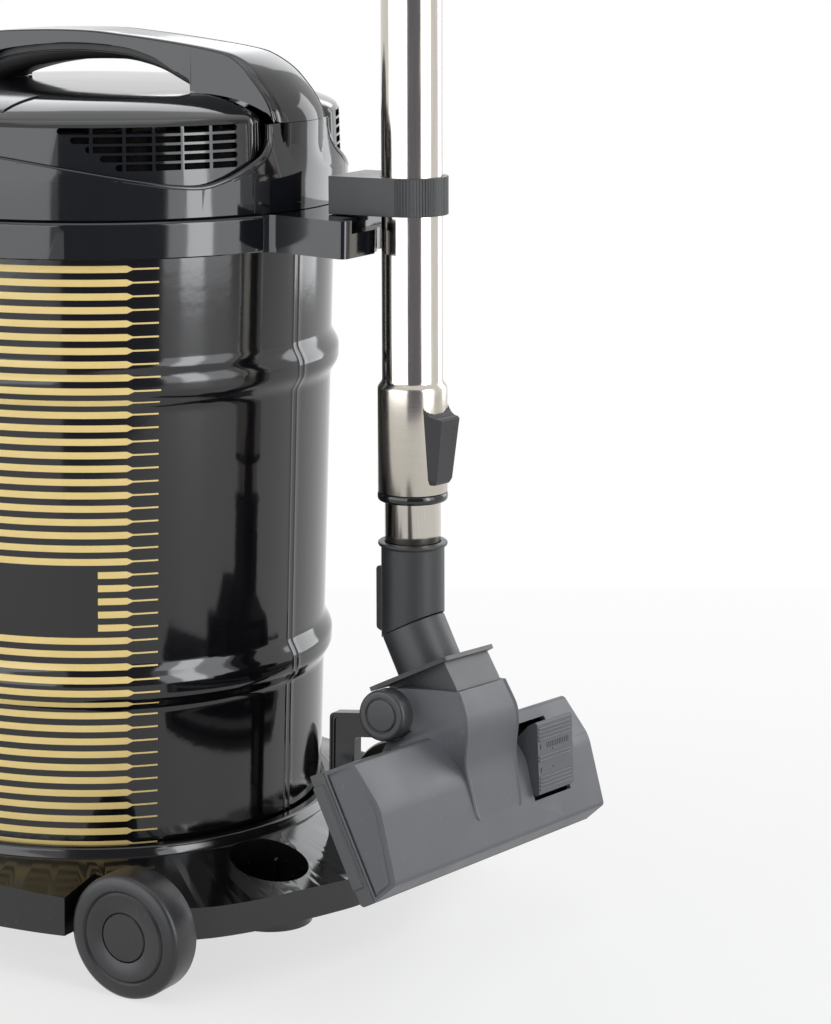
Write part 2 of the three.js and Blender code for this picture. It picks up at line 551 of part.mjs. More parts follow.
function headHousing() {
  const { radius, wall, topRadius, topZ, bottomZ } = head;
  const shellRing = revolve([
    [radius - 0.8, bottomZ], [radius, bottomZ + 0.8], [radius, 470], [topRadius + 1.5, 484], [topRadius, topZ],
    [topRadius - wall, topZ], [topRadius - wall + 1, 484], [radius - wall, 470], [radius - wall, bottomZ + 5],
    [head.floorHole, bottomZ + 5], [head.floorHole, bottomZ + 1.8], [radius - 4, bottomZ + 1.8], [radius - 4, bottomZ],
  ]);
  const nose = prism(noseOutline(0), bottomZ, topZ);
  const shoulder = prism([
    [-head.shoulderHalfWidth, radius - 21.5], [head.shoulderHalfWidth, radius - 21.5],
    [head.shoulderHalfWidth, radius - 7.1], [39, radius - 2.9], [-39, radius - 2.9], [-head.shoulderHalfWidth, radius - 7.1],
  ], bottomZ, head.shoulderZ);
  const noseCavity = prism(noseOutline(wall), bottomZ + 5, topZ + 1);
  const interior = disc(radius - wall - 1.5, bottomZ + 5, topZ + 5, roundSegments);
  const keeper = block(radius - 2, radius + 3.3, -15, 15, latch.topZ - 10, latch.topZ - 4);
  const cordHole = disc(gland.radius + 0.2, radius - 20, radius + 20, 12);
  let body = union(shellRing, cut(union(nose, shoulder), disc(radius - wall, 0, topZ + 100, roundSegments)));
  body = cut(body, edgeBand(0, true), mirrorX(edgeBand(0, true)));
  body = union(body, keeper, mirrorX(keeper));
  body = cut(body, noseCavity, interior);
  return cut(body, alongX(cordHole).rotate([0, 0, gland.bearing]).translate([0, 0, gland.z]));
}
place('head_housing', headHousing(), glossBlack);

const cordGland = union(
  ring(gland.bore, gland.radius, head.radius - 11.5, head.radius + 10.5, 12),
  ring(gland.bore, gland.radius + 3, head.radius + 0.9, head.radius + 3.5, 12));
place('cord_gland', alongX(cordGland).rotate([0, 0, gland.bearing]).translate([0, 0, gland.z]), rubber);

place('head_seal', revolve([
  [head.radius - 14.5, collar.topZ + clearance], [head.radius - 4.4, collar.topZ + clearance],
  [head.radius - 4.4, head.bottomZ + 1.5], [head.radius - 14.5, head.bottomZ + 1.5],
]), rubber);

// ---- motor, fan and exhaust -------------------------------------------------
const deckZ = head.bottomZ + 5;
place('motor_mount_ring', ring(motor.casingRadius + 4, motor.housingRadius - 2, deckZ + clearance, deckZ + 3), rubber);

function fanHousing() {
  const z0 = deckZ + 3 + clearance;
  const depth = motor.fanDepth;
  return revolve([
    [24, z0], [motor.housingRadius, z0], [motor.housingRadius, z0 + depth], [20, z0 + depth], [20, z0 + depth - 2.4],
    [motor.housingRadius - 2.4, z0 + depth - 2.4], [motor.housingRadius - 2.4, z0 + 2.4], [24, z0 + 2.4],
  ], tubeSegments);
}
place('fan_housing', fanHousing(), plainSteel);

function impeller() {
  const z0 = deckZ + 7;
  let body = union(
    ring(18, motor.fanRadius, z0, z0 + 1.2), disc(motor.fanRadius, z0 + 9, z0 + 10.2),
    disc(motor.shaftRadius, z0 + 4, z0 + 43, 16), disc(8, z0 + 4, z0 + 10, 16));
  for (let i = 0; i < motor.blades; i += 1) {
    const blade = block(20, motor.fanRadius - 1, -0.6, 0.6, z0 + 0.6, z0 + 9.6)
      .rotate([0, 0, 38]).translate([4, -9, 0]).rotate([0, 0, (i * 360) / motor.blades]);
    body = union(body, blade);
  }
  return body;
}
place('impeller', impeller(), plainSteel);

const motorBottomZ = deckZ + 3 + clearance + motor.fanDepth + clearance;
function motorCasing() {
  const z = motorBottomZ;
  const shell = revolve([
    [motor.shaftRadius + 0.1, z], [40, z], [motor.casingRadius, z + 4], [motor.casingRadius, z + motor.height - 8],
    [34, z + motor.height], [motor.shaftRadius + 0.1, z + motor.height],
  ], tubeSegments);
  let body = shell;
  for (let i = 0; i < 6; i += 1) {
    body = cut(body, block(40, 60, -7, 7, z + 6, z + motor.height - 10).rotate([0, 0, i * 60]));
  }
  return body;
}
place('motor_casing', motorCasing(), plainSteel);

// Foam pad behind each vent, on a bearing range that covers the slots.
function exhaustPad() {
  const outerAt = (z) => THREE.MathUtils.mapLinear(
    z, head.topZ - 35.2, head.topZ + 0.8, dome.wallRadius + 0.4, dome.wallTopRadius)
    - dome.wall - 1.3;
  const [innerRadius, z0, z1] = [dome.wallRadius - 13, head.topZ - 27.2, head.topZ - 1.6];
  const bearings = [26, 36, 46, 56, 66, 71];
  return loft(bearings.map((bearing) => {
    const a = THREE.MathUtils.degToRad(bearing);
    return [[innerRadius, z0], [outerAt(z0), z0], [outerAt(z1), z1], [innerRadius, z1]].map(([r, z]) =>
      new THREE.Vector3(r * Math.cos(a), r * Math.sin(a), z));
  }));
}
place('exhaust_filter_left', exhaustPad(), foam);
place('exhaust_filter_right', mirrorX(exhaustPad()), foam);

// ---- dome cover with vents ---------------------------------------------------
// Set back from the wall's top edge, and below the crown.
const domeTop = [
  ...[[0, 16.5], [2.2, 12.9], [8.6, 10.3], [30.6, 6.9], [58.6, 3.8], [95.6, 1.3]]
    .map(([back, below]) => [dome.wallTopRadius - back, dome.crownZ - below]),
  [0, dome.crownZ],
];

function domeCover() {
  const footZ = head.topZ - 35.2;
  const outer = [[dome.wallRadius + 0.4, footZ], ...domeTop];
  const inner = [
    [0, dome.crownZ - dome.wall], [domeTop[4][0] - 1, domeTop[4][1] - dome.wall],
    [domeTop[2][0] - 1, domeTop[2][1] - dome.wall - 0.6],
    [dome.wallTopRadius - dome.wall, head.topZ - 1.2], [dome.wallRadius + 0.4 - dome.wall, footZ],
  ];
  let body = revolve([...outer, ...inner]);
  const skirtCut = union(edgeBand(dome.floorGap, false), mirrorX(edgeBand(dome.floorGap, false)));
  const rearY = dome.wallRadius - 13;
  const rearZone = prism([[-40, rearY], [40, rearY], [44, rearY + 29], [-44, rearY + 29]], head.bottomZ - 15, head.topZ + 100);
  const rearSkirt = sectorBlock(75.4, 104.6, head.topZ + clearance);
  const frontSkirt = sectorBlock(-117, -63, head.topZ + clearance);
  body = cut(body, skirtCut, rearSkirt, frontSkirt, rearZone);
  for (let row = 0; row < vent.rows; row += 1) {
    const z = vent.topRowZ - row * vent.rowPitch;
    ventColumns.forEach(([from, to]) => {
      const start = Math.max(from, ventRowStart[row]);
      if (to - start > vent.leastSlot + 2 * vent.barHalfAngle) {
        const slot = ventSlot(start + vent.barHalfAngle, to - vent.barHalfAngle, z);
        body = cut(body, slot, mirrorX(slot));
      }
    });
  }
  return cut(body, buttonWell(), cut(handleSolid(0.35), block(-90, 90, -200, 120, 0, dome.crownZ + 0.1)));
}

// A wedge of wall below height z between two bearings.
function sectorBlock(from, to, z) {
  const steps = 6;
  return loft(Array.from({ length: steps + 1 }, (_, i) => {
    const a = THREE.MathUtils.degToRad(from + ((to - from) * i) / steps);
    const [r0, r1, low] = [head.radius - 31.5, head.radius + 23.5, head.bottomZ - 15];
    return [[r0, low], [r1, low], [r1, z], [r0, z]].map(([r, h]) =>
      new THREE.Vector3(r * Math.cos(a), r * Math.sin(a), h));
  }));
}

const ventColumns = [[28.4, 35.9], [35.9, 42.9], [42.9, 49.3], [49.3, 55.7], [55.7, 62.4], [62.4, 69.3]];
const ventRowStart = [28.4, 31.6, 34.8, 37.9, 41.1];

function ventSlot(from, to, z) {
  const middle = (from + to) / 2;
  const half = dome.wallRadius * Math.sin(THREE.MathUtils.degToRad((to - from) / 2));
  return block(dome.wallRadius - 10, dome.wallRadius + 7, -half, half, z - vent.slotHeight / 2, z + vent.slotHeight / 2)
    .rotate([0, 0, middle]);
}

// ---- carrying handle ------------------------------------------------------------
const archOuter = [
  [170.6, 497.5], [170.2, 503], [168.6, 509.5], [163.3, 518], [150.2, 528.4], [131.3, 537.2], [92.7, 544], [53.7, 547.4],
  [13.4, 548.6], [-27.6, 547], [-69.9, 543.4], [-107, 536.6], [-132, 527], [-147, 515], [-153, 506], [-154.5, 497.5],
];
const archInner = [
  [-54, 508], [-52, 526], [-46, 534.5], [-29.7, 537], [7.2, 538], [37.2, 536], [60, 531], [76, 523.5], [90, 514], [95, 505],
];
const archFoot = [[-142, 497.5], [-132, 500], [-120, 503]];
const archHeel = [[120, 503], [140, 497.5]];

function handleHalfWidth(y, z) {
  const drop = THREE.MathUtils.clamp((540 - z) / 30, 0, 1);
  const heel = THREE.MathUtils.smoothstep(530 - z, 0, 33) * THREE.MathUtils.smoothstep(Math.abs(y - 8), 100, 150);
  return handle.topHalfWidth + (handle.rootHalfWidth - handle.topHalfWidth) * drop
    + (head.noseHalfWidth - handle.rootHalfWidth) * heel;
}

function handleSolid(grow) {
  const nominal = 24;
  const outline = [...archOuter, ...archFoot, ...archInner, ...archHeel];
  const side = sideGeometry(outline, -nominal + handle.bevel, nominal - handle.bevel, {
    bevelEnabled: true, bevelThickness: handle.bevel, bevelSize: handle.bevel,
    bevelOffset: -handle.bevel + grow, bevelSegments: 1, steps: 6,
  });
  deform(side, (p) => {
    p.x *= (handleHalfWidth(p.y, p.z) + grow) / nominal;
    const reach = THREE.MathUtils.smoothstep(p.y, 96, 160);
    const x = Math.min(Math.abs(p.x), head.noseRadius - 1);
    p.y -= reach * (head.noseRadius - Math.sqrt(head.noseRadius ** 2 - x * x));
  });
  return solid(side);
}

function handleCover() {
  const domeBelow = revolve([
    [dome.wallTopRadius + 0.6, collar.topZ],
    ...domeTop.map(([r, z], i) => [r + (i < 2 ? 0.6 : 0), z + clearance]), [0, collar.topZ],
  ]);
  const seat = disc(2 * head.radius, collar.topZ, head.topZ + clearance, 8);
  const gripRoom = gripSolid(clearance);
  return cut(handleSolid(0), domeBelow, seat, gripRoom);
}

// Grip insert under the arch, where the fingers go.
function gripSolid(grow) {
  const inner = archInner.slice(2, -2);
  const outer = inner.map(([y, z]) => [y, z + handle.gripDepth + grow]).reverse();
  const lower = inner.map(([y, z]) => [y, z - handle.gripLip - grow]);
  const half = handle.gripHalfWidth + grow;
  return sidePrism([...lower, ...outer], -half, half);
}
place('dome_cover', domeCover(), glossBlack);
place('handle_cover', handleCover(), glossBlack);
place('handle_grip', gripSolid(0), satinBlack);

// ---- power button: a long rocker panel let into the dome beside the handle -----------
const domeSkin = (rise) => revolve([
  [0, button.bottomZ], [dome.wallTopRadius, button.bottomZ], ...domeTop.slice(0, -1).map(([r, z]) => [r, z + rise]),
  [0, dome.crownZ + rise],
]);
function buttonWell() {
  return prism(button.outline, button.bottomZ - 5, dome.crownZ + 20);
}

function powerButton() {
  const shrink = 1.2;
  const outline = button.outline.map(([x, y]) => [x + shrink * (x > 115 ? -1 : 1), y * (1 - shrink / 38)]);
  return prism(outline, button.bottomZ, dome.crownZ + 20).intersect(domeSkin(button.proud));
}
place('power_button', powerButton(), satinBlack);

// ---- wand -------------------------------------------------------------------------
// The wand leans with its foot outwards; its own axis is local Z, bend at z = 0.
const wandFrame = new THREE.Group();
wandFrame.position.set(0, wand.bendY, wand.bendZ);
wandFrame.rotation.x = wand.lean;
vacuum.add(wandFrame);
const twistFrame = new THREE.Group();
twistFrame.rotation.z = wand.twist;
wandFrame.add(twistFrame);

const outerBore = wand.outerRadius - wand.tubeWall;
place('wand_outer_tube', revolve([
  [wand.swageRadius - wand.swageWall, wand.swageBottom], [wand.swageRadius, wand.swageBottom],
  [wand.swageRadius, wand.swageTop], [wand.outerRadius, wand.swageTop + 5.5], [wand.outerRadius, wand.outerTop],
  [outerBore, wand.outerTop], [outerBore, wand.swageTop + 4.5], [wand.swageRadius - wand.swageWall, wand.swageTop - 1],
], tubeSegments), steel, twistFrame);
place('wand_inner_tube', ring(wand.innerRadius - wand.tubeWall, wand.innerRadius, wand.innerBottom, wand.innerTop, tubeSegments),
  steel, twistFrame);
place('tube_end_ring', revolve([
  [wand.innerRadius + 0.35, wand.swageBottom - wand.endRingHeight], [wand.swageRadius - 0.4, wand.swageBottom - wand.endRingHeight],
  [wand.swageRadius + 0.4, wand.swageBottom - 4], [wand.swageRadius + 0.4, wand.swageBottom - clearance],
  [wand.innerRadius + 0.35, wand.swageBottom - clearance],
], tubeSegments), satinBlack, twistFrame);
place('guide_sleeve', ring(wand.innerRadius + 0.3, wand.swageRadius - wand.swageWall - 0.3,
  wand.swageBottom + 1, wand.swageTop - 3, tubeSegments), satinBlack, twistFrame);

// Sliding lock: a wedge that stands off the swaged collar.
function slideLock() {
  const section = (z, crest, baseHalf, crestHalf) => [
    [-baseHalf, 12], [baseHalf, 12], [baseHalf, wand.swageRadius - 1], [crestHalf, crest], [-crestHalf, crest],
    [-baseHalf, wand.swageRadius - 1],
  ].map(([x, y]) => new THREE.Vector3(x, y, z));
  const wedge = loft([
    section(slider.bottom, 22.2, 8, 6.6), section(slider.bottom + 3, 24, 8.7, 7.2),
    section(slider.top - 10, 28.2, 11.8, 9), section(slider.top, 29.6, 12.6, 9.4),
  ]);
  const scoop = alongX(disc(slider.scoopRadius, -30, 30, 12)).translate([0, 30.8, slider.top + 5.5]);
  return cut(wedge, disc(wand.swageRadius + clearance, 0, 200, tubeSegments), scoop);
}
place('slide_lock', slideLock(), satinBlack, twistFrame);

// Parking clamp fixed round the outer tube, with a tongue for the collar's slot.
function parkingClamp() {
  const outer = wand.outerRadius + clip.wall;
  const count = clip.serrations;
  const arc = arcPoints(0, 0, 1, 0, 180, count * 2)
    .map(([c, s], i) => [c * (outer - (i % 2) * 0.5), s * (outer - (i % 2) * 0.5)]);
  const outline = [[-outer, -clip.boxDepth], [outer, -clip.boxDepth], ...arc];
  const body = prism(outline, clip.bottom, clip.top);
  const w = clip.boxWall;
  const hollow = block(-outer + w, outer - w, -clip.boxDepth + w, -wand.outerRadius - 3, clip.bottom - 1, clip.top - w);
  const tongue = block(-clip.tongueHalf, clip.tongueHalf, -clip.boxDepth + 5, -clip.boxDepth + 14,
    clip.bottom - clip.tongueDrop, clip.top - 2);
  return cut(union(cut(body, hollow), tongue), disc(wand.outerRadius + clearance, 0, 400, tubeSegments));
}
place('parking_clamp', parkingClamp(), darkGraphite, wandFrame);

// ---- neck socket: fixed elbow that takes the inner tube -----------------------------
function neckSocket() {
  const { top, rimHeight, rimRadius, radius, bore, airBore } = socket;
  const barrel = revolve([
    [0, -30], [radius, -30], [radius, top - rimHeight - 2], [rimRadius, top - rimHeight], [rimRadius, top - 0.8],
    [rimRadius - 0.8, top], [0, top],
  ], tubeSegments);
  const bores = union(disc(bore, wand.innerBottom - clearance, top + 1, tubeSegments), disc(airBore, -40, top, tubeSegments));
  const fin = sidePrism([
    [-17, -9], [-socket.finReach, -6], [-socket.finReach, 30.7], [-socket.finReach + 2, 32.7], [-17, 32.7],
  ], -2.6, 2.6);
  const below = block(-60, 60, -60, 60, -100, 0).rotate([THREE.MathUtils.radToDeg(neck.bend), 0, 0]);
  return cut(union(cut(barrel, below), fin), bores);
}
place('neck_socket', neckSocket(), darkGraphite, twistFrame);

// The lower neck swivels about its own axis; local +Y runs along it.
const neckFrame = new THREE.Group();
neckFrame.rotation.x = neck.bend - pi / 2;
twistFrame.add(neckFrame);
const swivelFrame = new THREE.Group();
swivelFrame.rotation.y = neck.swivel;
neckFrame.add(swivelFrame);
// Everything on the floor head is drawn round its tilt pivot.
const pivotFrame = new THREE.Group();
pivotFrame.position.set(0, neck.pivotAlong, -neck.pivotBelow);
swivelFrame.add(pivotFrame);

vacuum.updateMatrixWorld(true);

// L-shaped parking bracket with a rimmed web. Its foot is socketed in the base
// and the end of its arm is hollowed to cradle the neck's pivot barrel.
function parkingBracket() {
  const { postInnerY: y0, postOuterY: y1, topZ, armDepth, armSlope, flange: f, cornerRadius: c } = bracket;
  const tip = new THREE.Vector3().setFromMatrixPosition(pivotFrame.matrixWorld).y - bracket.tipSetback;
  const topAt = (y) => topZ + armSlope * (y - y0);
  const outline = (inset) => [
    [y0 + inset, postFootZ + clearance + (inset ? 24 : 0)], [y1 - inset, postFootZ + clearance + (inset ? 24 : 0)],
    [y1 - inset, topAt(y1) - armDepth - 2.4 + inset], [y1 + 3, topAt(y1 + 3) - armDepth + inset],
    [tip - 5, topAt(tip - 5) - armDepth + inset], [tip - inset, topAt(tip) - armDepth + 5 + inset],
    [tip - inset, topAt(tip) - inset],
    ...arcPoints(y0 + c + inset, topAt(y0) - c - inset, c, 90, 180, 3),
  ];
  const half = bracket.thickness / 2;
  const web = bracket.webThickness / 2;
  const cradle = alongX(disc(yoke.barrelRadius + bracket.cradleGap, -60, 60, tubeSegments))
    .transform(pivotFrame.matrixWorld.elements);
  const rimRoom = alongX(disc(yoke.barrelRadius + bracket.cradleGap + f, -60, 60, tubeSegments))
    .transform(pivotFrame.matrixWorld.elements);
  const pocket = cut(sidePrism(outline(f), -half - 1, half + 1), rimRoom, block(-web, web, 0, 400, 0, 400));
  return cut(sidePrism(outline(0), -half, half), pocket, cradle);
}
place('parking_bracket', parkingBracket(), glossBlack);

function neckYoke() {
  const start = -neck.pivotAlong + 0.5;
  const tube = alongY(disc(neck.radius, start, yoke.flangeBack + 1, tubeSegments)).translate([0, 0, neck.pivotBelow]);
  const plateOutline = [[-47, -3], [-46.4, 1], [-30, 37.5], [-28, 38.6], [28, 38.6], [30, 37.5], [46.4, 1], [47, -3]];
  const flange = prism(plateOutline.map(([x, z]) => [x, -z]), yoke.flangeBack, yoke.flangeBack + yoke.flangeThickness)
    .rotate([-90, 0, 0]);
  const drumSide = [
    [yoke.flangeBack + 1, 35], [0, yoke.radius], ...arcPoints(0, 0, yoke.radius, 88, 48, 6), [4, 3], [0, -yoke.barrelRadius],
    ...arcPoints(0, 0, yoke.barrelRadius, -100, -150, 3), [yoke.flangeBack + 1, -5],
  ];
  const drumBody = sidePrism(drumSide, -yoke.halfWidth, yoke.halfWidth);
  const barrel = alongX(disc(yoke.barrelRadius, -yoke.halfWidth, yoke.halfWidth));
  const airWay = alongY(disc(neck.bore, start - 5, 40)).translate([0, 0, neck.pivotBelow]);
  const pinBore = alongX(disc(headWheel.pinRadius + 0.1, -60, 60, 16));
  return cut(union(tube, flange, drumBody, barrel), airWay, pinBore);
}
place('neck_yoke', neckYoke(), graphite, pivotFrame);

// ---- floor head -----------------------------------------------------------------------
const shellProfile = [
  [floorHead.rearY, floorHead.frameTopZ + clearance], [floorHead.rearY + 0.6, floorHead.ridgeRearZ],
  [floorHead.creaseY, floorHead.creaseZ], [floorHead.frontRidgeY - 2, floorHead.frontRidgeZ + 0.9],
  [floorHead.frontRidgeY, floorHead.frontRidgeZ - 1], [floorHead.frontY, floorHead.frameTopZ + clearance],
];

function taperedShell(points, halfWidth, ridge) {
  const side = sideGeometry(points, -halfWidth, halfWidth);
  deform(side, (p) => {
    const rise = THREE.MathUtils.clamp((p.z - floorHead.frameTopZ) / 18, 0, 1);
    p.x *= THREE.MathUtils.lerp(halfWidth, ridge, rise) / halfWidth;
  });
  return solid(side);
}

// Sections of the raised hood along Y: half widths at foot and top, top height.
function hoodBody(inset) {
  const stations = [
    [hood.armTipY, 30, 44, 38.4], [hood.partingY, 30, 44, 38.4], [14, 30, 48, 38.3], [21, 30, 58, 37.6], [28, 30, 52, 35.2],
    [36, 30, 44, 30.4], [45, 30, 36, 25.6], [60, 29.4, 31, 21.4], [76, 28.6, 29, 17.2],
  ];
  return loft(stations.map(([y, top, foot, z]) => {
    const t = top - inset;
    const f = foot - inset;
    const h = z - inset;
    const mid = (share) => t + (f - t) * share;
    const half = [[f, 4], [mid(0.5), 4 + (h - 4) * 0.25], [mid(0.16), 4 + (h - 4) * 0.6], [t, h - 2.4], [t - 2.4, h]];
    const outline = [[f, -9], ...half, ...half.map(([x, v]) => [-x, v]).reverse(), [-f, -9]];
    return outline.map(([x, v]) => new THREE.Vector3(x, y, v));
  }));
}

function nozzleCover() {
  const w = floorHead.wall;
  const outer = taperedShell(shellProfile, floorHead.halfWidth, floorHead.halfWidth - floorHead.ridgeInset);
  const innerProfile = [
    [floorHead.rearY + w, floorHead.frameTopZ - 5], [floorHead.rearY + w, floorHead.ridgeRearZ - w],
    [floorHead.creaseY, floorHead.creaseZ - w], [floorHead.frontRidgeY - w, floorHead.frontRidgeZ - w],
    [floorHead.frontY - w - 0.6, floorHead.frameTopZ - 5],
  ];
  const inner = taperedShell(innerProfile, floorHead.halfWidth - w, floorHead.halfWidth - floorHead.ridgeInset - w);
  const belowFrame = block(-200, 200, -60, 200, -60, floorHead.frameTopZ + clearance);
  const hoodSolid = cut(hoodBody(0), belowFrame.intersect(block(-200, 200, floorHead.rearY, 200, -60, 60)));
  const aboveArm = sidePrism([
    [hood.partingY, 80], [hood.partingY, hood.partingZ - 0.6], [hood.armTipY, hood.armTipZ], [-60, hood.armTipZ], [-60, 80],
  ], -80, 80);
  const yokeRoom = alongX(disc(yoke.radius + 0.5, -hood.innerHalfWidth, hood.innerHalfWidth, 48));
  const barrelRoom = block(-hood.innerHalfWidth, hood.innerHalfWidth, -60, 26, -60, 20);
  const innerHood = hoodBody(w).intersect(block(-hood.innerHalfWidth, hood.innerHalfWidth, 20, 72, -60, 60));
  const pinBore = alongX(disc(headWheel.pinRadius + 0.1, -80, 80, 16));
  const wheelWell = alongX(disc(headWheel.radius + 1.2, headWheel.innerX - 0.9, 80, 28));
  const px = pedal.x;
  const pw = pedal.halfWidth;
  const pocket = block(px - pw - 0.8, px + pw + 0.8, pedal.pivotY - 24.6, pedal.pivotY + 22.4, -2, 60);
  return cut(
    union(outer, hoodSolid), aboveArm, inner, yokeRoom, barrelRoom, innerHood, pinBore, wheelWell, mirrorX(wheelWell), pocket,
    block(-200, 200, floorHead.rearY - 1.2, 200, -60, floorHead.frameTopZ + clearance));
}
place('nozzle_cover', nozzleCover(), graphite, pivotFrame);

// Lower tier of the floor head, with the air mouth and the brush slots.
const mouth = { y0: 46, y1: 64, sideWall: 18 };
const mouthHalf = floorHead.halfWidth - mouth.sideWall;
const brushRows = [30.5, 80.5];
const brushSlotHalf = 4.6;
function nozzleFrame() {
  const { rearY, frontY, soleZ, frameTopZ, halfWidth } = floorHead;
  const outer = sidePrism([
    [rearY - 0.8, soleZ + 0.4], [frontY - 1, soleZ + 0.4], [frontY + 0.4, soleZ + 2], [frontY + 0.4, frameTopZ],
    [rearY - 0.4, frameTopZ],
  ], -halfWidth - 0.6, halfWidth + 0.6);
  const bump = block(-halfWidth - 2.2, halfWidth + 2.2, rearY + 6, frontY - 10, soleZ + 0.4, frameTopZ - 2.4);
  const room = block(-halfWidth + 2.6, halfWidth - 2.6, rearY + 2.4, frontY - 2.6, soleZ + 3, 20);
  let body = cut(union(outer, bump), room);
  body = cut(body, block(-mouthHalf, mouthHalf, mouth.y0, mouth.y1, -60, 0));
  for (const y of brushRows) {
    body = cut(body, block(-mouthHalf - 4, mouthHalf + 4, y - brushSlotHalf, y + brushSlotHalf, -60, 0));
  }
  return body;
}
place('nozzle_frame', nozzleFrame(), graphite, pivotFrame);

function solePlate() {
  const { rearY, soleZ, halfWidth } = floorHead;
  let body = block(-halfWidth + 6, halfWidth - 6, rearY + 2, mouth.y1 + 9, soleZ - 1.2, soleZ + 0.1);
  body = cut(body, block(-mouthHalf, mouthHalf, mouth.y0, mouth.y1, -60, 0));
  const y = brushRows[0];
  return cut(body, block(-mouthHalf - 4, mouthHalf + 4, y - brushSlotHalf, y + brushSlotHalf, -60, 0));
}
place('sole_plate', solePlate(), plainSteel, pivotFrame);

// Brush carriage: one moving frame that carries both strips, lifted by the pedal.
const carriageTravel = 5;
function brushCarriage() {
  const z0 = floorHead.soleZ + 3 + carriageTravel + 0.6;
  const bars = brushRows.map((y) => block(-mouthHalf - 2, mouthHalf + 2, y - 5.4, y + 5.4, z0, z0 + 2));
  const link = [4 - mouthHalf, 40, mouthHalf - 4].map((x) => block(x - 4, x + 4, brushRows[0], brushRows[1], z0, z0 + 2));
  const half = brushSlotHalf - clearance;
  const carrier = brushRows.map((y) => block(-mouthHalf - 1, mouthHalf + 1, y - half, y + half, z0 - 4.8, z0 + 0.2));
  const post = block(pedal.x - 3, pedal.x + 3, brushRows[0] - 3, brushRows[0] + 3, z0, pedal.pivotZ - 12);
  const tie = block(-mouthHalf - 2, pedal.x + 3, brushRows[0] - 3, brushRows[0] + 3, z0, z0 + 2);
  return union(...bars, ...link, ...carrier, post, tie);
}
place('brush_carriage', brushCarriage(), satinBlack, pivotFrame);

function brushStrip(y) {
  const top = floorHead.soleZ + 3 + carriageTravel + 0.6 - 4.8 - clearance;
  const span = mouthHalf - 10;
  let body = block(-mouthHalf, mouthHalf, y - 2, y + 2, top - 1.6, top);
  const tufts = 10;
  for (let i = 0; i < tufts; i += 1) {
    const x = -span + (2 * span * i) / (tufts - 1);
    body = union(body, block(x - 9, x + 9, y - 1.2, y + 1.2, floorHead.soleZ - 0.8, top - 1));
  }
  return body;
}
place('brush_strip_rear', brushStrip(brushRows[0]), bristle, pivotFrame);
place('brush_strip_front', brushStrip(brushRows[1]), bristle, pivotFrame);

// Rocker pedal on the right side, drawn round its own pivot.
function rockerPedal() {
  const w = pedal.halfWidth;
  const outline = [
    [20, 0.4], [20, 2.8], [-19, 19.6], [-20.6, 18.6], [-20.6, 14], [-16, 2], [0, -6], [4, -6], [17, -1.2],
  ];
  const body = sidePrism(outline, -w, w);
  const hollow = sidePrism([[14, 0.6], [-17, 14.6], [-15, 3], [0, -4], [3, -8], [10, -8]], -w + 2.2, w - 2.2);
  const grooves = [-15, -12.5, -10, -1.5, 1, 10, 12.5, 15].map((y) =>
    alongX(disc(pedal.grooveRadius, -w + 4, w - 4, 4)).translate([0, y, THREE.MathUtils.mapLinear(y, -19, 20, 19.7, 2.9)]));
  const journal = alongX(disc(2.4, -w - 0.6, w + 0.6, 12));
  return union(cut(body, hollow, ...grooves), journal).translate([pedal.x, pedal.pivotY, pedal.pivotZ]);
}
place('brush_pedal', rockerPedal(), darkGraphite, pivotFrame);

for (const [side, sign] of [['left', 1], ['right', -1]]) {
  const flip = (body) => (sign > 0 ? body : mirrorX(body));
  const { radius, innerX, outerX, pinRadius } = headWheel;
  const roller = revolve([
    [pinRadius + 0.15, innerX], [radius - 1.4, innerX], [radius, innerX + 1.4], [radius, outerX - 1.8], [radius - 1.8, outerX],
    [9.3, outerX], [8.6, outerX - 0.7], [7.9, outerX], [0, outerX], [0, outerX - 1.6],
    [pinRadius + 0.15, outerX - 1.6],
  ], tubeSegments);
  place(`head_wheel_${side}`, flip(alongX(roller)), darkGraphite, pivotFrame);
  const pin = disc(pinRadius, 20, outerX - 2, 12);
  place(`pivot_pin_${side}`, flip(alongX(pin)), plainSteel, pivotFrame);
}

// ---- stand the part on its wheels, centred over its footprint ------------------------------
vacuum.updateMatrixWorld(true);
const extent = new THREE.Box3().setFromObject(vacuum, true);
const middle = extent.getCenter(new THREE.Vector3());
vacuum.position.set(-middle.x, -middle.y, -extent.min.z);
vacuum.updateMatrixWorld(true);

export default vacuum;
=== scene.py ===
import bpy, bmesh, functools, math
from mathutils import Matrix, Vector


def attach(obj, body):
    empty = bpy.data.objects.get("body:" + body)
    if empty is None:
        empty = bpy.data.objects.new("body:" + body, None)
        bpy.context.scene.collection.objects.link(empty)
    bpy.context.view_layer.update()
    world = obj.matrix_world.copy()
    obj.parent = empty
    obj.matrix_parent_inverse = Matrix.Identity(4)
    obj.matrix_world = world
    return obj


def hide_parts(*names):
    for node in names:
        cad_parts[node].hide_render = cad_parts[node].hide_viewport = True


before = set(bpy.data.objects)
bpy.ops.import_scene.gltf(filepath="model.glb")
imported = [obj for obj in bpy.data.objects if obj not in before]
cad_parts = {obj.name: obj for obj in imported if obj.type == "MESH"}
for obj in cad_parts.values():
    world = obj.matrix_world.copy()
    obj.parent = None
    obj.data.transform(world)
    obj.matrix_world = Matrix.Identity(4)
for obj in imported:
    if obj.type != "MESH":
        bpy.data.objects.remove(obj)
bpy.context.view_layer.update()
bpy.context.scene.view_settings.view_transform = "Standard"

# ---- Camera: a long lens just above the tank's rim, seen from behind the
# machine's left side, with the frame shifted right and down to the wand.
drum_y, yaw_deg, pitch_deg = -0.05, 1.61, 9.81


def put(name, data):
    thing = bpy.data.objects.new(name, data)
    bpy.context.scene.collection.objects.link(thing)
    return thing


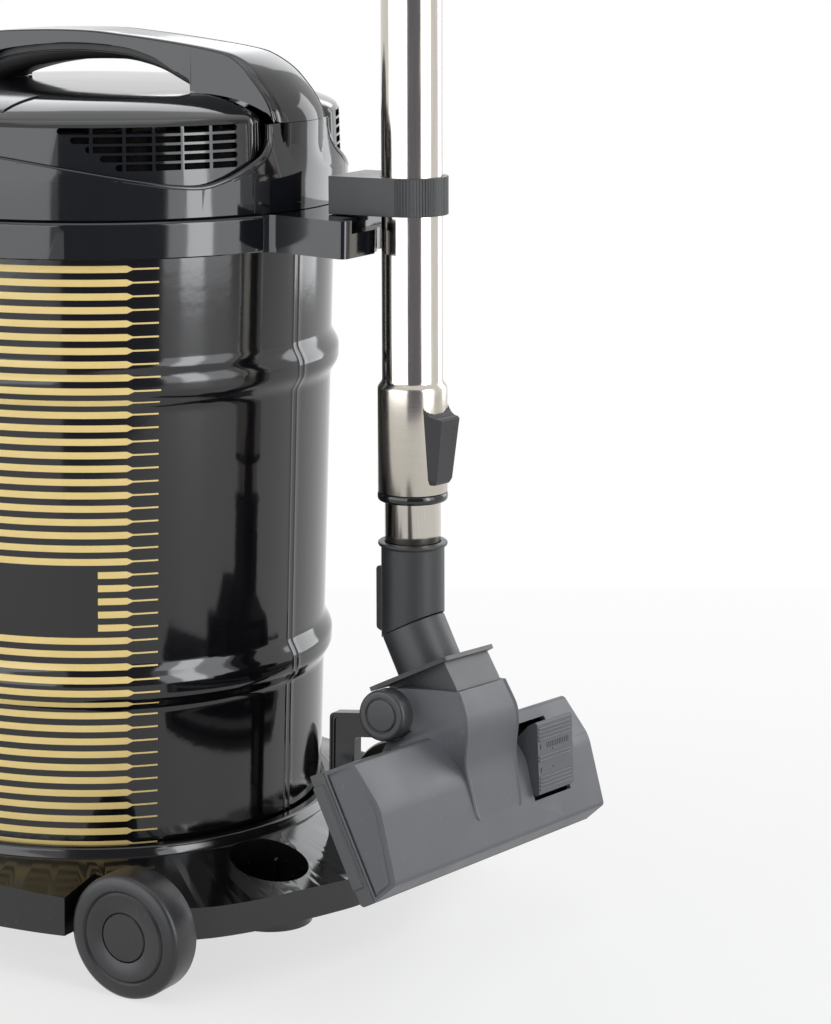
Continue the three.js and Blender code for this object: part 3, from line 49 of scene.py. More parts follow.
camera = bpy.context.scene.camera = put("camera", bpy.data.cameras.new("camera"))
camera.location = (1.5024, 1.0295, 0.6515)
heading = math.atan2(drum_y - camera.location.y, -camera.location.x) - math.radians(yaw_deg)
camera.rotation_euler = (math.radians(90 - pitch_deg), 0, heading - math.pi / 2)
camera.data.lens, camera.data.sensor_width, camera.data.clip_end = 104.03, 36, 20
camera.data.shift_x, camera.data.shift_y = 0.2368, -0.1396


# ---- Studio floor: a pale matt sweep that lightens to white behind the machine,
# so it keeps the soft shadow but shows only a faint far edge.
def linear(colour):
    channels = [int(colour[i:i + 2], 16) / 255 for i in (1, 3, 5)]
    return tuple(c / 12.92 if c <= 0.04045 else ((c + 0.055) / 1.055) ** 2.4 for c in channels) + (1,)


def polar(radius, angle, *rest):
    return radius * math.cos(angle), radius * math.sin(angle), *rest


def add_node(tree, kind, inputs=(), **settings):
    """Adds a node; an input is a value, a socket, or a node whose first live output feeds it."""
    node = tree.nodes.new("ShaderNode" + kind)
    for key, value in settings.items():
        setattr(node, key, value)
    for socket, value in dict(inputs).items():
        if isinstance(value, bpy.types.Node):
            value = next(output for output in value.outputs if output.enabled)
        if isinstance(value, bpy.types.NodeSocket):
            tree.links.new(value, node.inputs[socket])
        else:
            node.inputs[socket].default_value = value
    return node


def blank_material(name):
    material = bpy.data.materials.new(name)
    material.use_nodes = True
    material.node_tree.nodes.clear()
    return material, functools.partial(add_node, material.node_tree)


floor_material, add = blank_material("pale_floor")
place = add("NewGeometry")
mottle = add("TexNoise", {"Vector": place, "Scale": 3})
tone = add("Mix", {0: mottle, 6: linear("#e6e6e4"), 7: linear("#ececeb")}, data_type="RGBA")
matt = add("BsdfPrincipled", {"Base Color": tone, "Roughness": 0.6})
away = add("VectorMath", {0: place, 1: polar(1, heading, 0)}, operation="DOT_PRODUCT")
near_edge, white_from, white_by = -0.4, 0.72, 0.79
fade = add("MapRange", {"Value": away, 1: white_from, 2: white_by}, interpolation_type="SMOOTHSTEP")
seen = add("LightPath")
straight = add("Math", {0: seen.outputs["Is Camera Ray"], 1: seen.outputs["Is Glossy Ray"]},
    operation="MAXIMUM")
nearer = add("MapRange", {"Value": away, 1: near_edge, 2: white_from, 3: 0.58, 4: 0.92})
paleness = add("Math", {0: fade, 1: nearer}, operation="MAXIMUM")
share = add("Math", {0: paleness, 1: straight}, operation="MULTIPLY")
white = add("Emission", {"Color": (1, 1, 1, 1)})
both = add("MixShader", {0: share, 1: matt, 2: white})
add("OutputMaterial", {"Surface": both})
floor_mesh = bpy.data.meshes.new("floor")
floor_half = 5
corners = [(x * floor_half, y * floor_half, 0) for x, y in ((-1, -1), (1, -1), (1, 1), (-1, 1))]
floor_mesh.from_pydata(corners, [], [(0, 1, 2, 3)])
floor_mesh.materials.append(floor_material)
put("floor", floor_mesh)

# ---- Studio light: a white surround with soft boxes left and right of the camera,
# two behind the machine and one above, and a dark flag beside the camera that only
# reflections see; the flag's lit grey is a painted glow.
world = bpy.data.worlds.new("light_tent")
bpy.context.scene.world = world
world.use_nodes = True
world.node_tree.nodes.clear()
add = functools.partial(add_node, world.node_tree)
seen = add("LightPath")
direct = add("Math", {0: seen.outputs["Is Camera Ray"], 1: seen.outputs["Is Transmission Ray"]},
    operation="MAXIMUM")
direct = add("Math", {0: direct, 1: seen.outputs["Is Glossy Ray"]}, operation="MAXIMUM")
soft = add("Background", {"Color": (1, 1, 1, 1), "Strength": 0.2})
backdrop = add("Background", {"Color": (1, 1, 1, 1)})
both = add("MixShader", {0: direct, 1: soft, 2: backdrop})
add("OutputWorld", {"Surface": both})
cool_white = (0.955, 0.975, 1.0)


def soft_box(name, bearing, distance, height, width, tall, radiance):
    """A soft box turned to the machine: bearing in degrees round the drum, metres, radiance against white."""
    lamp = bpy.data.lights.new(name, "AREA")
    lamp.shape, lamp.size, lamp.size_y = "RECTANGLE", width, tall
    lamp.energy = radiance * math.pi * width * tall
    lamp.color = cool_white
    box = put(name, lamp)
    x, y = polar(distance, math.radians(bearing))
    box.location = (x, drum_y + y, height)
    aim = Vector((0, drum_y, min(height, 0.4)))
    box.rotation_euler = (aim - box.location).to_track_quat("-Z", "Y").to_euler()
    box.visible_camera = False


soft_box("left_box", -21, 2.0, 0.82, 3.6, 1.6, 1.9)
soft_box("key_box", 82, 2.05, 0.87, 0.44, 1.7, 5.0)
soft_box("right_box", 85, 2.1, 0.82, 1.36, 1.6, 2.1)
soft_box("rear_box", 153, 2.2, 0.82, 1.0, 1.6, 2.6)
soft_box("back_box", 215.7, 2.0, 1.5, 2.4, 1.3, 1.5)
soft_box("overhead_box", 40, 0.2, 2.3, 1.8, 1.8, 0.8)

# painted light: the black flag cloth glows at the mid grey that reflections would show of it in full light
glowing_flag_cloth, add = blank_material("black_flag_cloth")
weave = add("TexNoise", {"Scale": 400})
shade = add("Mix", {0: weave, 6: linear("#1c1c1e"), 7: linear("#26262a")}, data_type="RGBA")
# painted light: an emission glow stands in for the light on the cloth
cloth = add("Emission", {"Color": shade, "Strength": 12})
add("OutputMaterial", {"Surface": cloth})


def dark_flag(name, start, end, low, high):
    """A flag hung between two plan points, in metres; only glossy rays see it."""
    mesh = bpy.data.meshes.new(name)
    mesh.from_pydata([(*start, low), (*end, low), (*end, high), (*start, high)], [], [(0, 1, 2, 3)])
    mesh.materials.append(glowing_flag_cloth)
    flag = put(name, mesh)
    flag.visible_camera = flag.visible_diffuse = flag.visible_shadow = flag.visible_transmission = False


dark_flag("camera_flag", (1.105, 0.421), (0.70, 1.55), 0.02, 1.6)

# ---- Tank: deep-drawn steel drum with two rolled ribs and one seam up the back,
# black stoving lacquer with a gold line print screened over each side.
def shape(verts, faces):
    mesh = bpy.data.meshes.new("shape")
    mesh.from_pydata([tuple(v) for v in verts], [], faces)
    tidy = bmesh.new()
    tidy.from_mesh(mesh)
    bmesh.ops.remove_doubles(tidy, verts=tidy.verts, dist=1e-4)
    bmesh.ops.recalc_face_normals(tidy, faces=tidy.faces)
    tidy.to_mesh(mesh)
    tidy.free()
    return put("shape", mesh)


def spin(profile, steps=96, angles=None, swell=None):
    angles = angles or [math.tau * i / steps for i in range(steps)]
    n, m = len(profile), len(angles)
    verts = []
    for angle in angles:
        extra = swell(angle) if swell else 0
        for r, z in profile:
            reach = r + extra if r > 100 else max(r, 0)
            verts.append(polar(reach, angle, z))
    faces = [(i * n + j, i * n + (j + 1) % n, (i + 1) % m * n + (j + 1) % n, (i + 1) % m * n + j)
        for i in range(m) for j in range(n)]
    return shape(verts, faces)


def settle(piece):
    graph = bpy.context.evaluated_depsgraph_get()
    mesh = bpy.data.meshes.new_from_object(piece.evaluated_get(graph))
    piece.modifiers.clear()
    piece.data = mesh
    return piece


def fit_piece(piece, name, body, material, stands_for=(), place=None, edge=0.6, angle=32, rounds=2,
    sharp=48):
    """Rounds the edges, sets the piece in the machine in metres and hangs it on its body."""
    if edge:
        bevel = piece.modifiers.new("edges", "BEVEL")
        bevel.width, bevel.segments, bevel.limit_method = edge, rounds, "ANGLE"
        bevel.angle_limit = math.radians(angle)
        bevel.miter_outer = "MITER_ARC"
        settle(piece)
    mesh = piece.data
    where = Matrix.Scale(0.001, 4) @ Matrix.Translation((0, -50, 0)) @ (place or Matrix())
    mesh.transform(where)
    mesh.shade_smooth()
    mesh.set_sharp_from_angle(angle=math.radians(sharp))
    if edge:
        even = piece.modifiers.new("even_shading", "WEIGHTED_NORMAL")
        even.keep_sharp = True
        settle(piece)
    piece.name = piece.data.name = name
    piece.data.materials.clear()
    piece.data.materials.append(material)
    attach(piece, body)
    if stands_for:
        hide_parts(*stands_for)
    return piece


tank_bottom, tank_top = (147.8, 62.3), (153.2, 441)
rib_heights, rib_half, rib_swell = (164, 347), 15, 4.9
stripe_pitch, first_stripe_z, stripe_gaps = 8.03, 416.5, 44
steel_gauge, seam_radius, seam_half, seam_width, seam_rise = 1.2, 150, 2.7, 0.75, 0.34


def smoothstep(value, low, high):
    t = min(max((value - low) / (high - low), 0), 1)
    return t * t * (3 - 2 * t)


def tank_radius(z):
    (low_radius, low), (top_radius, top) = tank_bottom, tank_top
    radius = low_radius + (top_radius - low_radius) * (z - low) / (top - low)
    return radius + sum(rib_swell * smoothstep(rib_half - abs(z - height), 0, rib_half - 3)
        for height in rib_heights)


def seam_ridge(angle):
    across = (angle - math.pi / 2) * seam_radius
    return seam_rise * (math.exp(-((across - seam_half) / seam_width) ** 2)
        + math.exp(-((across + seam_half) / seam_width) ** 2))


levels = [tank_bottom[1] + i * (tank_top[1] - tank_bottom[1]) / 190 for i in range(191)]
outer_skin = [(tank_radius(z), z) for z in levels]
inner_skin = [(tank_radius(z) - steel_gauge, max(z, tank_bottom[1] + steel_gauge))
    for z in reversed(levels[::5])]
bearings = sorted([math.radians(1.5 * i) for i in range(240)] + [math.pi / 2 + mm / seam_radius for mm in (-4.6,
    -3.9, -3.3, -2.7, -2.1, -1.5, -0.8, 0.8, 1.5, 2.1, 2.7, 3.3)])
tank = spin([(0, tank_bottom[1])] + outer_skin + inner_skin + [(0, tank_bottom[1] + steel_gauge)],
    angles=bearings, swell=seam_ridge)

# The print is laid out on the steel: degrees from the side across, millimetres of
# surface down. Towards its edges each line narrows to a thin tongue.
surface_length = [0.0]
for (r0, z0), (r1, z1) in zip(outer_skin, outer_skin[1:]):
    surface_length.append(surface_length[-1] + math.hypot(r1 - r0, z1 - z0))
top_index = min(range(len(levels)), key=lambda i: abs(levels[i] - first_stripe_z))
first_length = surface_length[top_index] + first_stripe_z - levels[top_index]
layout = tank.data.uv_layers.new(name="print_layout")
for loop in tank.data.loops:
    x, y, z = tank.data.vertices[loop.vertex_index].co
    step = (z - levels[0]) / (levels[1] - levels[0])
    low = min(max(int(step), 0), len(levels) - 2)
    length = surface_length[low] + (step - low) * (surface_length[low + 1] - surface_length[low])
    bearing = math.degrees(math.atan2(y, x))
    folded = 90 - abs(abs(bearing) - 90)
    outside = 1 if math.hypot(x, y) > tank_radius(z) - steel_gauge / 2 else -1
    layout.data[loop.index].uv = (folded * outside, first_length - length)

tank_lacquer, add = blank_material("stoving_lacquer_gold_print")
coordinates = add("TexCoord")
spot = add("SeparateXYZ", {0: add("UVMap", uv_map="print_layout")})
across, down = spot.outputs[:2]
print_side, panel_side, tongue_from, tongue_by = 50.8, 37.0, 43.6, 44.9
off_line = add("Math", {0: down, 1: stripe_pitch / 2}, operation="PINGPONG")
half_line = add("MapRange", {"Value": across, 1: tongue_from, 2: tongue_by, 3: 2.05, 4: 0.5})
inside = add("MapRange", {"Value": add("Math", {0: half_line, 1: off_line}, operation="SUBTRACT"), 1: -0.1,
    2: 0.1})
for value, lowest, highest in ((across, -0.5, print_side), (down, -3.5, stripe_gaps * stripe_pitch + 3.5)):
    above = add("Math", {0: value, 1: lowest}, operation="GREATER_THAN")
    below = add("Math", {0: value, 1: highest}, operation="LESS_THAN")
    window = add("Math", {0: above, 1: below}, operation="MULTIPLY")
    inside = add("Math", {0: inside, 1: window}, operation="MULTIPLY")
# a bare panel five lines high is left in the middle of each side
panel = add("Math", {0: across, 1: panel_side}, operation="LESS_THAN")
for lowest, test in ((22.5 * stripe_pitch, "GREATER_THAN"), (27.5 * stripe_pitch, "LESS_THAN")):
    part = add("Math", {0: down, 1: lowest}, operation=test)
    panel = add("Math", {0: panel, 1: part}, operation="MULTIPLY")
keep = add("Math", {0: 1.0, 1: panel}, operation="SUBTRACT")
printed = add("Math", {0: inside, 1: keep}, operation="MULTIPLY")
# noise scales are in cells per metre: ink mottle 17 mm, haze 110 mm, ripple 8 mm
ink_flow = add("TexNoise", {"Vector": coordinates.outputs["Object"], "Scale": 60, "Detail": 3})
gold = add("Mix", {0: ink_flow, 6: linear("#d8bd74"), 7: linear("#e3c986")}, data_type="RGBA")
haze = add("TexNoise", {"Vector": coordinates.outputs["Object"], "Scale": 9, "Detail": 4})
black = add("Mix", {0: haze, 6: linear("#08080a"), 7: linear("#0e0e11")}, data_type="RGBA")
colour = add("Mix", {0: printed, 6: black, 7: gold}, data_type="RGBA")
lacquer_gloss = add("MapRange", {"Value": haze, 1: 0.3, 2: 0.7, 3: 0.06, 4: 0.12})
gloss = add("Mix", {0: printed, 2: lacquer_gloss, 3: 0.34}, data_type="FLOAT")
ripple = add("TexNoise", {"Vector": coordinates.outputs["Object"], "Scale": 130})
relief = add("Bump", {"Height": ripple, "Strength": 0.05, "Distance": 0.0006})
skin = add("BsdfPrincipled", {"Base Color": colour, "Roughness": gloss, "Normal": relief, "IOR": 1.57})
add("OutputMaterial", {"Surface": skin})
fit_piece(tank, "tank", "base", tank_lacquer, ["tank_shell"], edge=0, sharp=55)

# ---- Base chassis: one gloss black ABS moulding that the tank sits in, with a
# sloping deck, a raised lip round the tank, wheel arches and two tool holders.
def carve(piece, *tools, how="DIFFERENCE"):
    """Cuts each tool from the piece in turn, or keeps what they share, or adds them."""
    for tool in tools:
        cut = piece.modifiers.new("cut", "BOOLEAN")
        cut.operation, cut.object, cut.solver = how, tool, "MANIFOLD"
        settle(piece)
        bpy.data.objects.remove(tool)
    return piece


def merge(piece, *others):
    return carve(piece, *others, how="UNION")


def gather(pieces):
    """Separate pieces that don't touch, kept as one object so that one cut serves them all."""
    tidy = bmesh.new()
    for piece in pieces:
        tidy.from_mesh(piece.data)
        bpy.data.objects.remove(piece)
    mesh = bpy.data.meshes.new("shape")
    tidy.to_mesh(mesh)
    tidy.free()
    return put("shape", mesh)


def copy_of(piece):
    return put("shape", piece.data.copy())


def turned(piece, *moves):
    for move in moves:
        piece.data.transform(move)
    if any(move.determinant() < 0 for move in moves):
        piece.data.flip_normals()
    return piece


def moved(x=0, y=0, z=0):
    return Matrix.Translation((x, y, z))


def rotation(degrees, axis):
    return Matrix.Rotation(math.radians(degrees), 4, axis)


lay_along_x, lay_along_y = rotation(90, "Y"), rotation(-90, "X")
side_on = Matrix(((0, 0, 1, 0), (1, 0, 0, 0), (0, 1, 0, 0), (0, 0, 0, 1)))
both_sides = (Matrix(), Matrix.Scale(-1, 4, (1, 0, 0)))
named_sides = tuple(zip(("left", "right"), both_sides))
other_side = both_sides[1]


def block(x0, x1, y0, y1, z0, z1):
    return prism([(x0, y0), (x1, y0), (x1, y1), (x0, y1)], z0, z1)


def prism(outline, z0, z1):
    n = len(outline)
    verts = [(x, y, z0) for x, y in outline] + [(x, y, z1) for x, y in outline]
    faces = [tuple(range(n)), tuple(range(n, 2 * n))] + [(i, (i + 1) % n, (i + 1) % n + n, i + n)
        for i in range(n)]
    return shape(verts, faces)


def disc(radius, z0, z1, steps=48):
    return spin([(0, z0), (radius, z0), (radius, z1), (0, z1)], steps)


def rod(radius, x0, x1, steps=48):
    return turned(disc(radius, x0, x1, steps), lay_along_x)


def ring(inner, outer, z0, z1, steps=48):
    return spin([(inner, z0), (outer, z0), (outer, z1), (inner, z1)], steps)


def arc(cx, cy, radius, start, end, steps):
    points = [polar(radius, math.radians(start + (end - start) * i / steps)) for i in range(steps + 1)]
    return [(cx + x, cy + y) for x, y in points]


def between(p, q, start, end, t):
    return p * ((end - t) / (end - start)) + q * ((t - start) / (end - start))


def smooth_line(points, per_span=6, closed=False):
    """A curve through the points, evened by the square root of their spacing."""
    pts = [Vector(p) for p in points]
    n = len(pts)
    line = []
    for i in range(n if closed else n - 1):
        if closed:
            a, b, c, d = (pts[(i + k) % n] for k in (-1, 0, 1, 2))
        else:
            b, c = pts[i], pts[i + 1]
            a = pts[i - 1] if i else b * 2 - c
            d = pts[i + 2] if i + 2 < n else c * 2 - b
        t0, t1 = 0, (b - a).length ** 0.5
        t2 = t1 + (c - b).length ** 0.5
        t3 = t2 + (d - c).length ** 0.5
        for k in range(per_span):
            t = t1 + (t2 - t1) * k / per_span
            ab, bc, cd = between(a, b, t0, t1, t), between(b, c, t1, t2, t), between(c, d, t2, t3, t)
            line.append(tuple(between(between(ab, bc, t0, t2, t), between(bc, cd, t1, t3, t), t1, t2, t)))
    if not closed:
        line.append(tuple(pts[-1]))
    return line


def gloss_abs(name, dark, pale, smooth, dull, dust=0.0):
    """Moulded gloss ABS: near-black, mirror-like, with faint sink ripple, handling haze and a little dust."""
    material, add = blank_material(name)
    where = add("TexCoord").outputs["Object"]
    # noise scales are in cells per metre: handling haze 70 mm, sink ripple 22 mm
    haze = add("TexNoise", {"Vector": where, "Scale": 14, "Detail": 5, "Roughness": 0.6})
    tone = add("Mix", {0: haze, 6: linear(dark), 7: linear(pale)}, data_type="RGBA")
    sheen = add("MapRange", {"Value": haze, 1: 0.35, 2: 0.7, 3: smooth, 4: dull})
    # dust lies as specks about 0.5 mm across, 7 mm apart, thicker in places
    specks = add("TexVoronoi", {"Vector": where, "Scale": 150})
    near = add("MapRange", {"Value": specks, 1: 0.03, 2: 0.06, 3: dust, 4: 0.0})
    patch = add("MapRange", {"Value": haze, 1: 0.45, 2: 0.65})
    spot = add("Math", {0: near, 1: patch}, operation="MULTIPLY")
    colour = add("Mix", {0: spot, 6: tone, 7: linear("#8a8a86")}, data_type="RGBA")
    ripple = add("TexNoise", {"Vector": where, "Scale": 45, "Detail": 1})
    relief = add("Bump", {"Height": ripple, "Strength": 0.08, "Distance": 0.001})
    skin = add("BsdfPrincipled", {"Base Color": colour, "Roughness": sheen, "Normal": relief, "IOR": 1.57})
    add("OutputMaterial", {"Surface": skin})
    return material


deck_gloss = gloss_abs("gloss_abs_dusty_deck", "#0d0d0f", "#151517", 0.07, 0.16, dust=0.5)
seat_floor, skirt_foot, lip_top, lip_foot = 62, 30, 68, 61
deck_break, deck_reach, plate = 162.5, 240, 3
seat_inner, seat_outer = 150.4, 156.5
base_side = [(0, 222), (30, 219.5), (50, 213.5), (72, 205), (105, 190.5), (133, 171.5), (158, 140), (175, 95),
    (183, 45), (184, 0), (179, -50), (166, -98), (143, -142), (108, -177), (62, -199), (0, -207)]


def deck_z(radius):
    return 64.5 + (48 - 64.5) * (radius - seat_outer) / (222 - seat_outer)


def base_outline(inset):
    plan = base_side + [(-x, y) for x, y in reversed(base_side[1:-1])]
    return [(max(min(x, 184), -184) * (1 - inset / math.hypot(x, y)), y * (1 - inset / math.hypot(x, y))) for x,
        y in smooth_line(plan, 5, closed=True)]


def deck_profile(drop, low):
    return [(0, seat_floor - drop), (seat_inner + drop, seat_floor - drop),
        (deck_break, deck_z(deck_break) - drop), (deck_reach, deck_z(deck_reach) - drop), (deck_reach, low),
        (0, low)]


def deck_solid(inset, low, foot):
    return carve(spin(deck_profile(inset, low), 200), prism(base_outline(inset), foot, 90), how="INTERSECT")


base = carve(deck_solid(0, 10, skirt_foot), deck_solid(plate, 20, 24))
lip = [(seat_inner, lip_foot), (seat_outer + 3, lip_foot), (seat_outer + 0.8, 65.2)] + arc(seat_outer - 1.8,
    lip_top - 1.8, 1.8, 0, 90, 5) + [(seat_inner, lip_top)]
merge(base, spin(lip, 200))
wheel_y, wheel_z, wheel_inner_x, wheel_gap = 144.1, 37, 146.3, 3.5
arch_half = 41
arch_y = (wheel_y - arch_half, wheel_y + arch_half)
arch_x = wheel_inner_x - wheel_gap
caster_x, caster_stem_y, caster_trail, caster_z = 86, -124, 15, 20
axle_line, cup_place = moved(0, wheel_y, wheel_z), moved(60, 173)
for mirror in both_sides:
    liner = carve(block(arch_x - plate, deck_reach, arch_y[0] - plate, arch_y[1] + plate, 0, 90),
        deck_solid(0, 10, skirt_foot), how="INTERSECT")
    merge(base, turned(liner, mirror))
    carve(base, turned(block(arch_x, deck_reach, arch_y[0], arch_y[1], 0, 90), mirror))
    axle_boss = turned(rod(9, 116, arch_x), axle_line, mirror)
    merge(base, axle_boss, turned(disc(11, 47, 61), moved(caster_x, caster_stem_y), mirror))
    cup = turned(disc(26.6, 22, 60), cup_place, mirror)
    above_deck = spin([(0, 90), (0, lip_foot), (seat_inner, lip_foot), (deck_break, deck_z(deck_break)),
        (deck_reach, deck_z(deck_reach)), (deck_reach, 90)], 200)
    merge(base, carve(cup, above_deck))
    hole = disc(24, 24.6, 90, 64)
    for i in range(6):
        carve(hole, turned(block(21.4, 25, -0.8, 0.8, 20, 50), rotation(i * 60 + 22, "Z")))
    carve(base, turned(hole, cup_place, mirror))
carve(base, block(-4.3, 4.3, 180.7, 199, 49, 90))
fit_piece(base, "base", "base", deck_gloss, ["base_chassis"], edge=0.7, rounds=2,
    angle=35)

# ---- Rear wheels: satin black polypropylene discs turned with a ring groove, each
# with a pressed-in hub cap, on a steel stub axle.
def satin_plastic(name, dark, pale, smooth, dull, grain_mm=0.35, depth_mm=0.03, scuff="#5d5d5f"):
    """Moulded plastic with a fine spark-eroded grain, rubbed smoother and paler in patches."""
    material, add = blank_material(name)
    where = add("TexCoord").outputs["Object"]
    # rubbed patches are 45 mm across, and scratches 1 mm apart run long
    cloud = add("TexNoise", {"Vector": where, "Scale": 22, "Detail": 5, "Roughness": 0.62})
    tone = add("Mix", {0: cloud, 6: linear(dark), 7: linear(pale)}, data_type="RGBA")
    scratch_place = add("Mapping", {"Vector": where, "Scale": (1.0, 1.0, 0.12), "Rotation": (0.6, 0.4, 0.9)})
    scratches = add("TexNoise", {"Vector": scratch_place, "Scale": 900})
    rubbed = add("MapRange", {"Value": scratches, 1: 0.66, 2: 0.8, 3: 0.0, 4: 0.35})
    colour = add("Mix", {0: rubbed, 6: tone, 7: linear(scuff)}, data_type="RGBA")
    sheen = add("MapRange", {"Value": cloud, 1: 0.3, 2: 0.7, 3: smooth, 4: dull})
    grain = add("TexVoronoi", {"Vector": where, "Scale": 1000 / grain_mm})
    relief = add("Bump", {"Height": grain, "Strength": 0.35, "Distance": depth_mm / 1000})
    skin = add("BsdfPrincipled", {"Base Color": colour, "Roughness": sheen, "Normal": relief, "IOR": 1.5})
    add("OutputMaterial", {"Surface": skin})
    return material


wheel_plastic = satin_plastic("satin_polypropylene_wheel", "#1c1c1e", "#232325", 0.3, 0.42, grain_mm=0.5)
wheel_side = [(4.1, 2), (33.5, 2), (36, 2.9), (37, 5), (37, 22), (36.4, 24.2), (34.4, 25.7), (28.2, 26),
    (27.5, 25.4), (26.9, 24.9), (26.3, 25.4), (25.6, 26), (15.6, 25.5), (15.0, 25.0), (15.0, 22.6), (4.1, 22.6)]
cap_side = [(0, 169.2), (14.6, 169.2), (14.6, 170.9), (13.9, 171.7), (0, 172.1)]
turned_steel, add = blank_material("turned_steel_pin")
where = add("TexCoord").outputs["Object"]
marks = add("TexNoise", {"Vector": where, "Scale": 700})
tone = add("Mix", {0: marks, 6: linear("#7d7d7b"), 7: linear("#a3a29e")}, data_type="RGBA")
sheen = add("MapRange", {"Value": marks, 3: 0.26, 4: 0.44})
steel_pin = add("BsdfPrincipled", {"Base Color": tone, "Roughness": sheen, "Metallic": 1})
add("OutputMaterial", {"Surface": steel_pin})
for side, mirror in named_sides:
    wheel = turned(spin(wheel_side, 128), lay_along_x, moved(wheel_inner_x), axle_line, mirror)
    fit_piece(wheel, "rear_wheel_disc_" + side, "rear_wheel_" + side, wheel_plastic,
        ["rear_wheel_" + side], edge=0, sharp=38)
    cap = turned(spin(cap_side, 64), lay_along_x, axle_line, mirror)
    fit_piece(cap, "hub_cap_" + side, "rear_wheel_" + side, wheel_plastic,
        ["rear_wheel_cap_" + side], edge=0, sharp=38)


def dress(material, *nodes):
    """Gives the frame's own solids a finish in place of their plain colour."""
    for node in nodes:
        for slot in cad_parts[node].material_slots:
            slot.material = material


dress(turned_steel, "rear_axle_left", "rear_axle_right", "caster_axle_left", "caster_axle_right",
    "latch_pin_left", "latch_pin_right", "pivot_pin_left", "pivot_pin_right")

# ---- Front casters: satin black forks that swivel on a stem in the base, with
# hard plastic rollers on steel pins.
dress(wheel_plastic, "caster_fork_left", "caster_fork_right")
roller_side = [(2.65, -8), (18, -8), (19.4, -7.4), (20, -6), (20, 6), (19.4, 7.4), (18, 8), (2.65, 8)]
for side, mirror in named_sides:
    roller = turned(spin(roller_side, 64), lay_along_x, moved(caster_x, caster_stem_y + caster_trail, caster_z),
        mirror)
    fit_piece(roller, "caster_roller_" + side, "caster_wheel_" + side, wheel_plastic,
        ["caster_wheel_" + side], edge=0, sharp=50)

# ---- Collar ring: gloss black ABS hoop clamped on the tank's rim, with a square
# arm at the back that the parked wand hooks into.
head_gloss = gloss_abs("gloss_abs_head", "#0e0f12", "#15161a", 0.06, 0.11, dust=0.15)
collar_low, collar_high, collar_radius, collar_bore = 423, 445, 163, 154.2
arm_half, arm_end, arm_round = 47.4, 214, 4.4
hoop = [(collar_bore, collar_low), (collar_radius - 0.8, collar_low), (collar_radius, collar_low + 0.8),
    *arc(collar_radius - 2.6, collar_high - 2.6, 2.6, 0, 90, 6), (148, collar_high), (148, 442.2), (144, 442.2),
    (144, 439.4), (147, 439.4), (147, 441.6), (collar_bore, 441.6)]
collar = spin(hoop, 200)
arm_side = [(40, 150), (44.4, 156), (42.8, 158.8), (41.6, 161.4), (41.1, 164)] + arc(arm_half - arm_round,
    arm_end - arm_round, arm_round, 4, 88, 6)
arm_outline = arm_side + [(-x, y) for x, y in reversed(arm_side)]
arm = prism(arm_outline, collar_low, collar_high)
carve(arm, prism([(x * 0.9, y - 4 if y > 160 else y) for x, y in arm_outline], collar_low - 1,
    collar_high - 3.2))
carve(arm, disc(collar_bore + 3, collar_low - 1, collar_high + 1, 200))
carve(arm, block(-39.5, 39.5, 206.4, 230, 437.2, 460))
tongue_y = (191.6, 202.1)
wall = block(-20, 20, tongue_y[0] - 3.6, tongue_y[1] + 3.6, collar_low + 1, collar_high - 1)
backing = block(-20, 20, tongue_y[1] + 3, 212, collar_low + 1, 437)
merge(collar, arm, wall, backing)
latch_x, latch_z = 168.2, 431


def latch_pivot(radius, half, steps):
    return turned(disc(radius, -half, half, steps), lay_along_y, moved(latch_x, 0, latch_z))


for mirror in both_sides:
    lug = merge(latch_pivot(2.7, 13, 32), block(159, latch_x, -13, 13, latch_z - 2.7, latch_z + 2.7))
    merge(collar, turned(carve(lug, latch_pivot(1.9, 30, 24)), mirror))
carve(collar, block(-17, 17, tongue_y[0] - 0.9, tongue_y[1] + 0.9, collar_low - 1, collar_high + 1))
# the lifted wand's end ring passes in this hollow
carve(collar, turned(disc(21.7, collar_low - 1, collar_high + 1, 96), moved(0, 231.4)))
fit_piece(collar, "collar", "base", head_gloss, ["collar_ring"], edge=1.0, rounds=3,
    angle=40)

# ---- Side latches: gloss black ABS levers hinged on steel pins, whose claws hook
# over the motor head.
for side, mirror in named_sides:
    lever_side = [(171.2, 426.5), (171.2, 435.6), (168.4, 437.8), (168.4, 462.8), (162.6, 462.8), (162.6, 466),
        (170.2, 466.8), *arc(170.2, 464.2, 2.2, 75, 10, 4), (173.6, 436), (173.8, 431), (174.4, 426.5)]
    lever = turned(prism([(x, -z) for x, z in lever_side], -20, 20), lay_along_y)
    ears = [turned(prism([(x, -z) for x, z in ((165.4, 428.2), (173.2, 427.5), (173.2, 440), (168.4, 440),
        (165.4, 433.8))], a, b), lay_along_y) for a, b in ((13.6, 20), (-20, -13.6))]
    merge(lever, *ears)
    carve(lever, latch_pivot(1.9, 30, 24))
    fit_piece(turned(lever, mirror), "latch_lever_" + side, "latch_" + side, head_gloss,
        ["latch_" + side], edge=0.5)

# ---- Motor head, lower housing: gloss black ABS shell with a square nose at the
# back and a swept top edge that the dome sits down behind.
head_low, head_radius, head_top, head_top_radius, shell = 445.4, 161.5, 497.2, 157, 3
nose_radius, nose_half, nose_y, nose_foot_half, floor_top = 65, 29.5, 160.9, 49.6, 450.4
swept_points = [(-64, 496.6), (-45, 492.5), (-20, 489.5), (0, 486), (17, 481), (31, 475), (45, 468.3),
    (54, 464.6), (60, 464), (65, 467.3), (68.6, 471), (72.1, 475.3), (74.5, 478.5), (76.2, 482.6), (77.3, 488),
    (77.6, 498)]
edge_path = smooth_line(swept_points, 7)


def loft(rings):
    n = len(rings[0])
    faces = [tuple(range(n)), tuple(range((len(rings) - 1) * n, len(rings) * n))]
    for r in range(len(rings) - 1):
        faces += [(r * n + i, r * n + (i + 1) % n, (r + 1) * n + (i + 1) % n, (r + 1) * n + i)
            for i in range(n)]
    return shape([p for points in rings for p in points], faces)


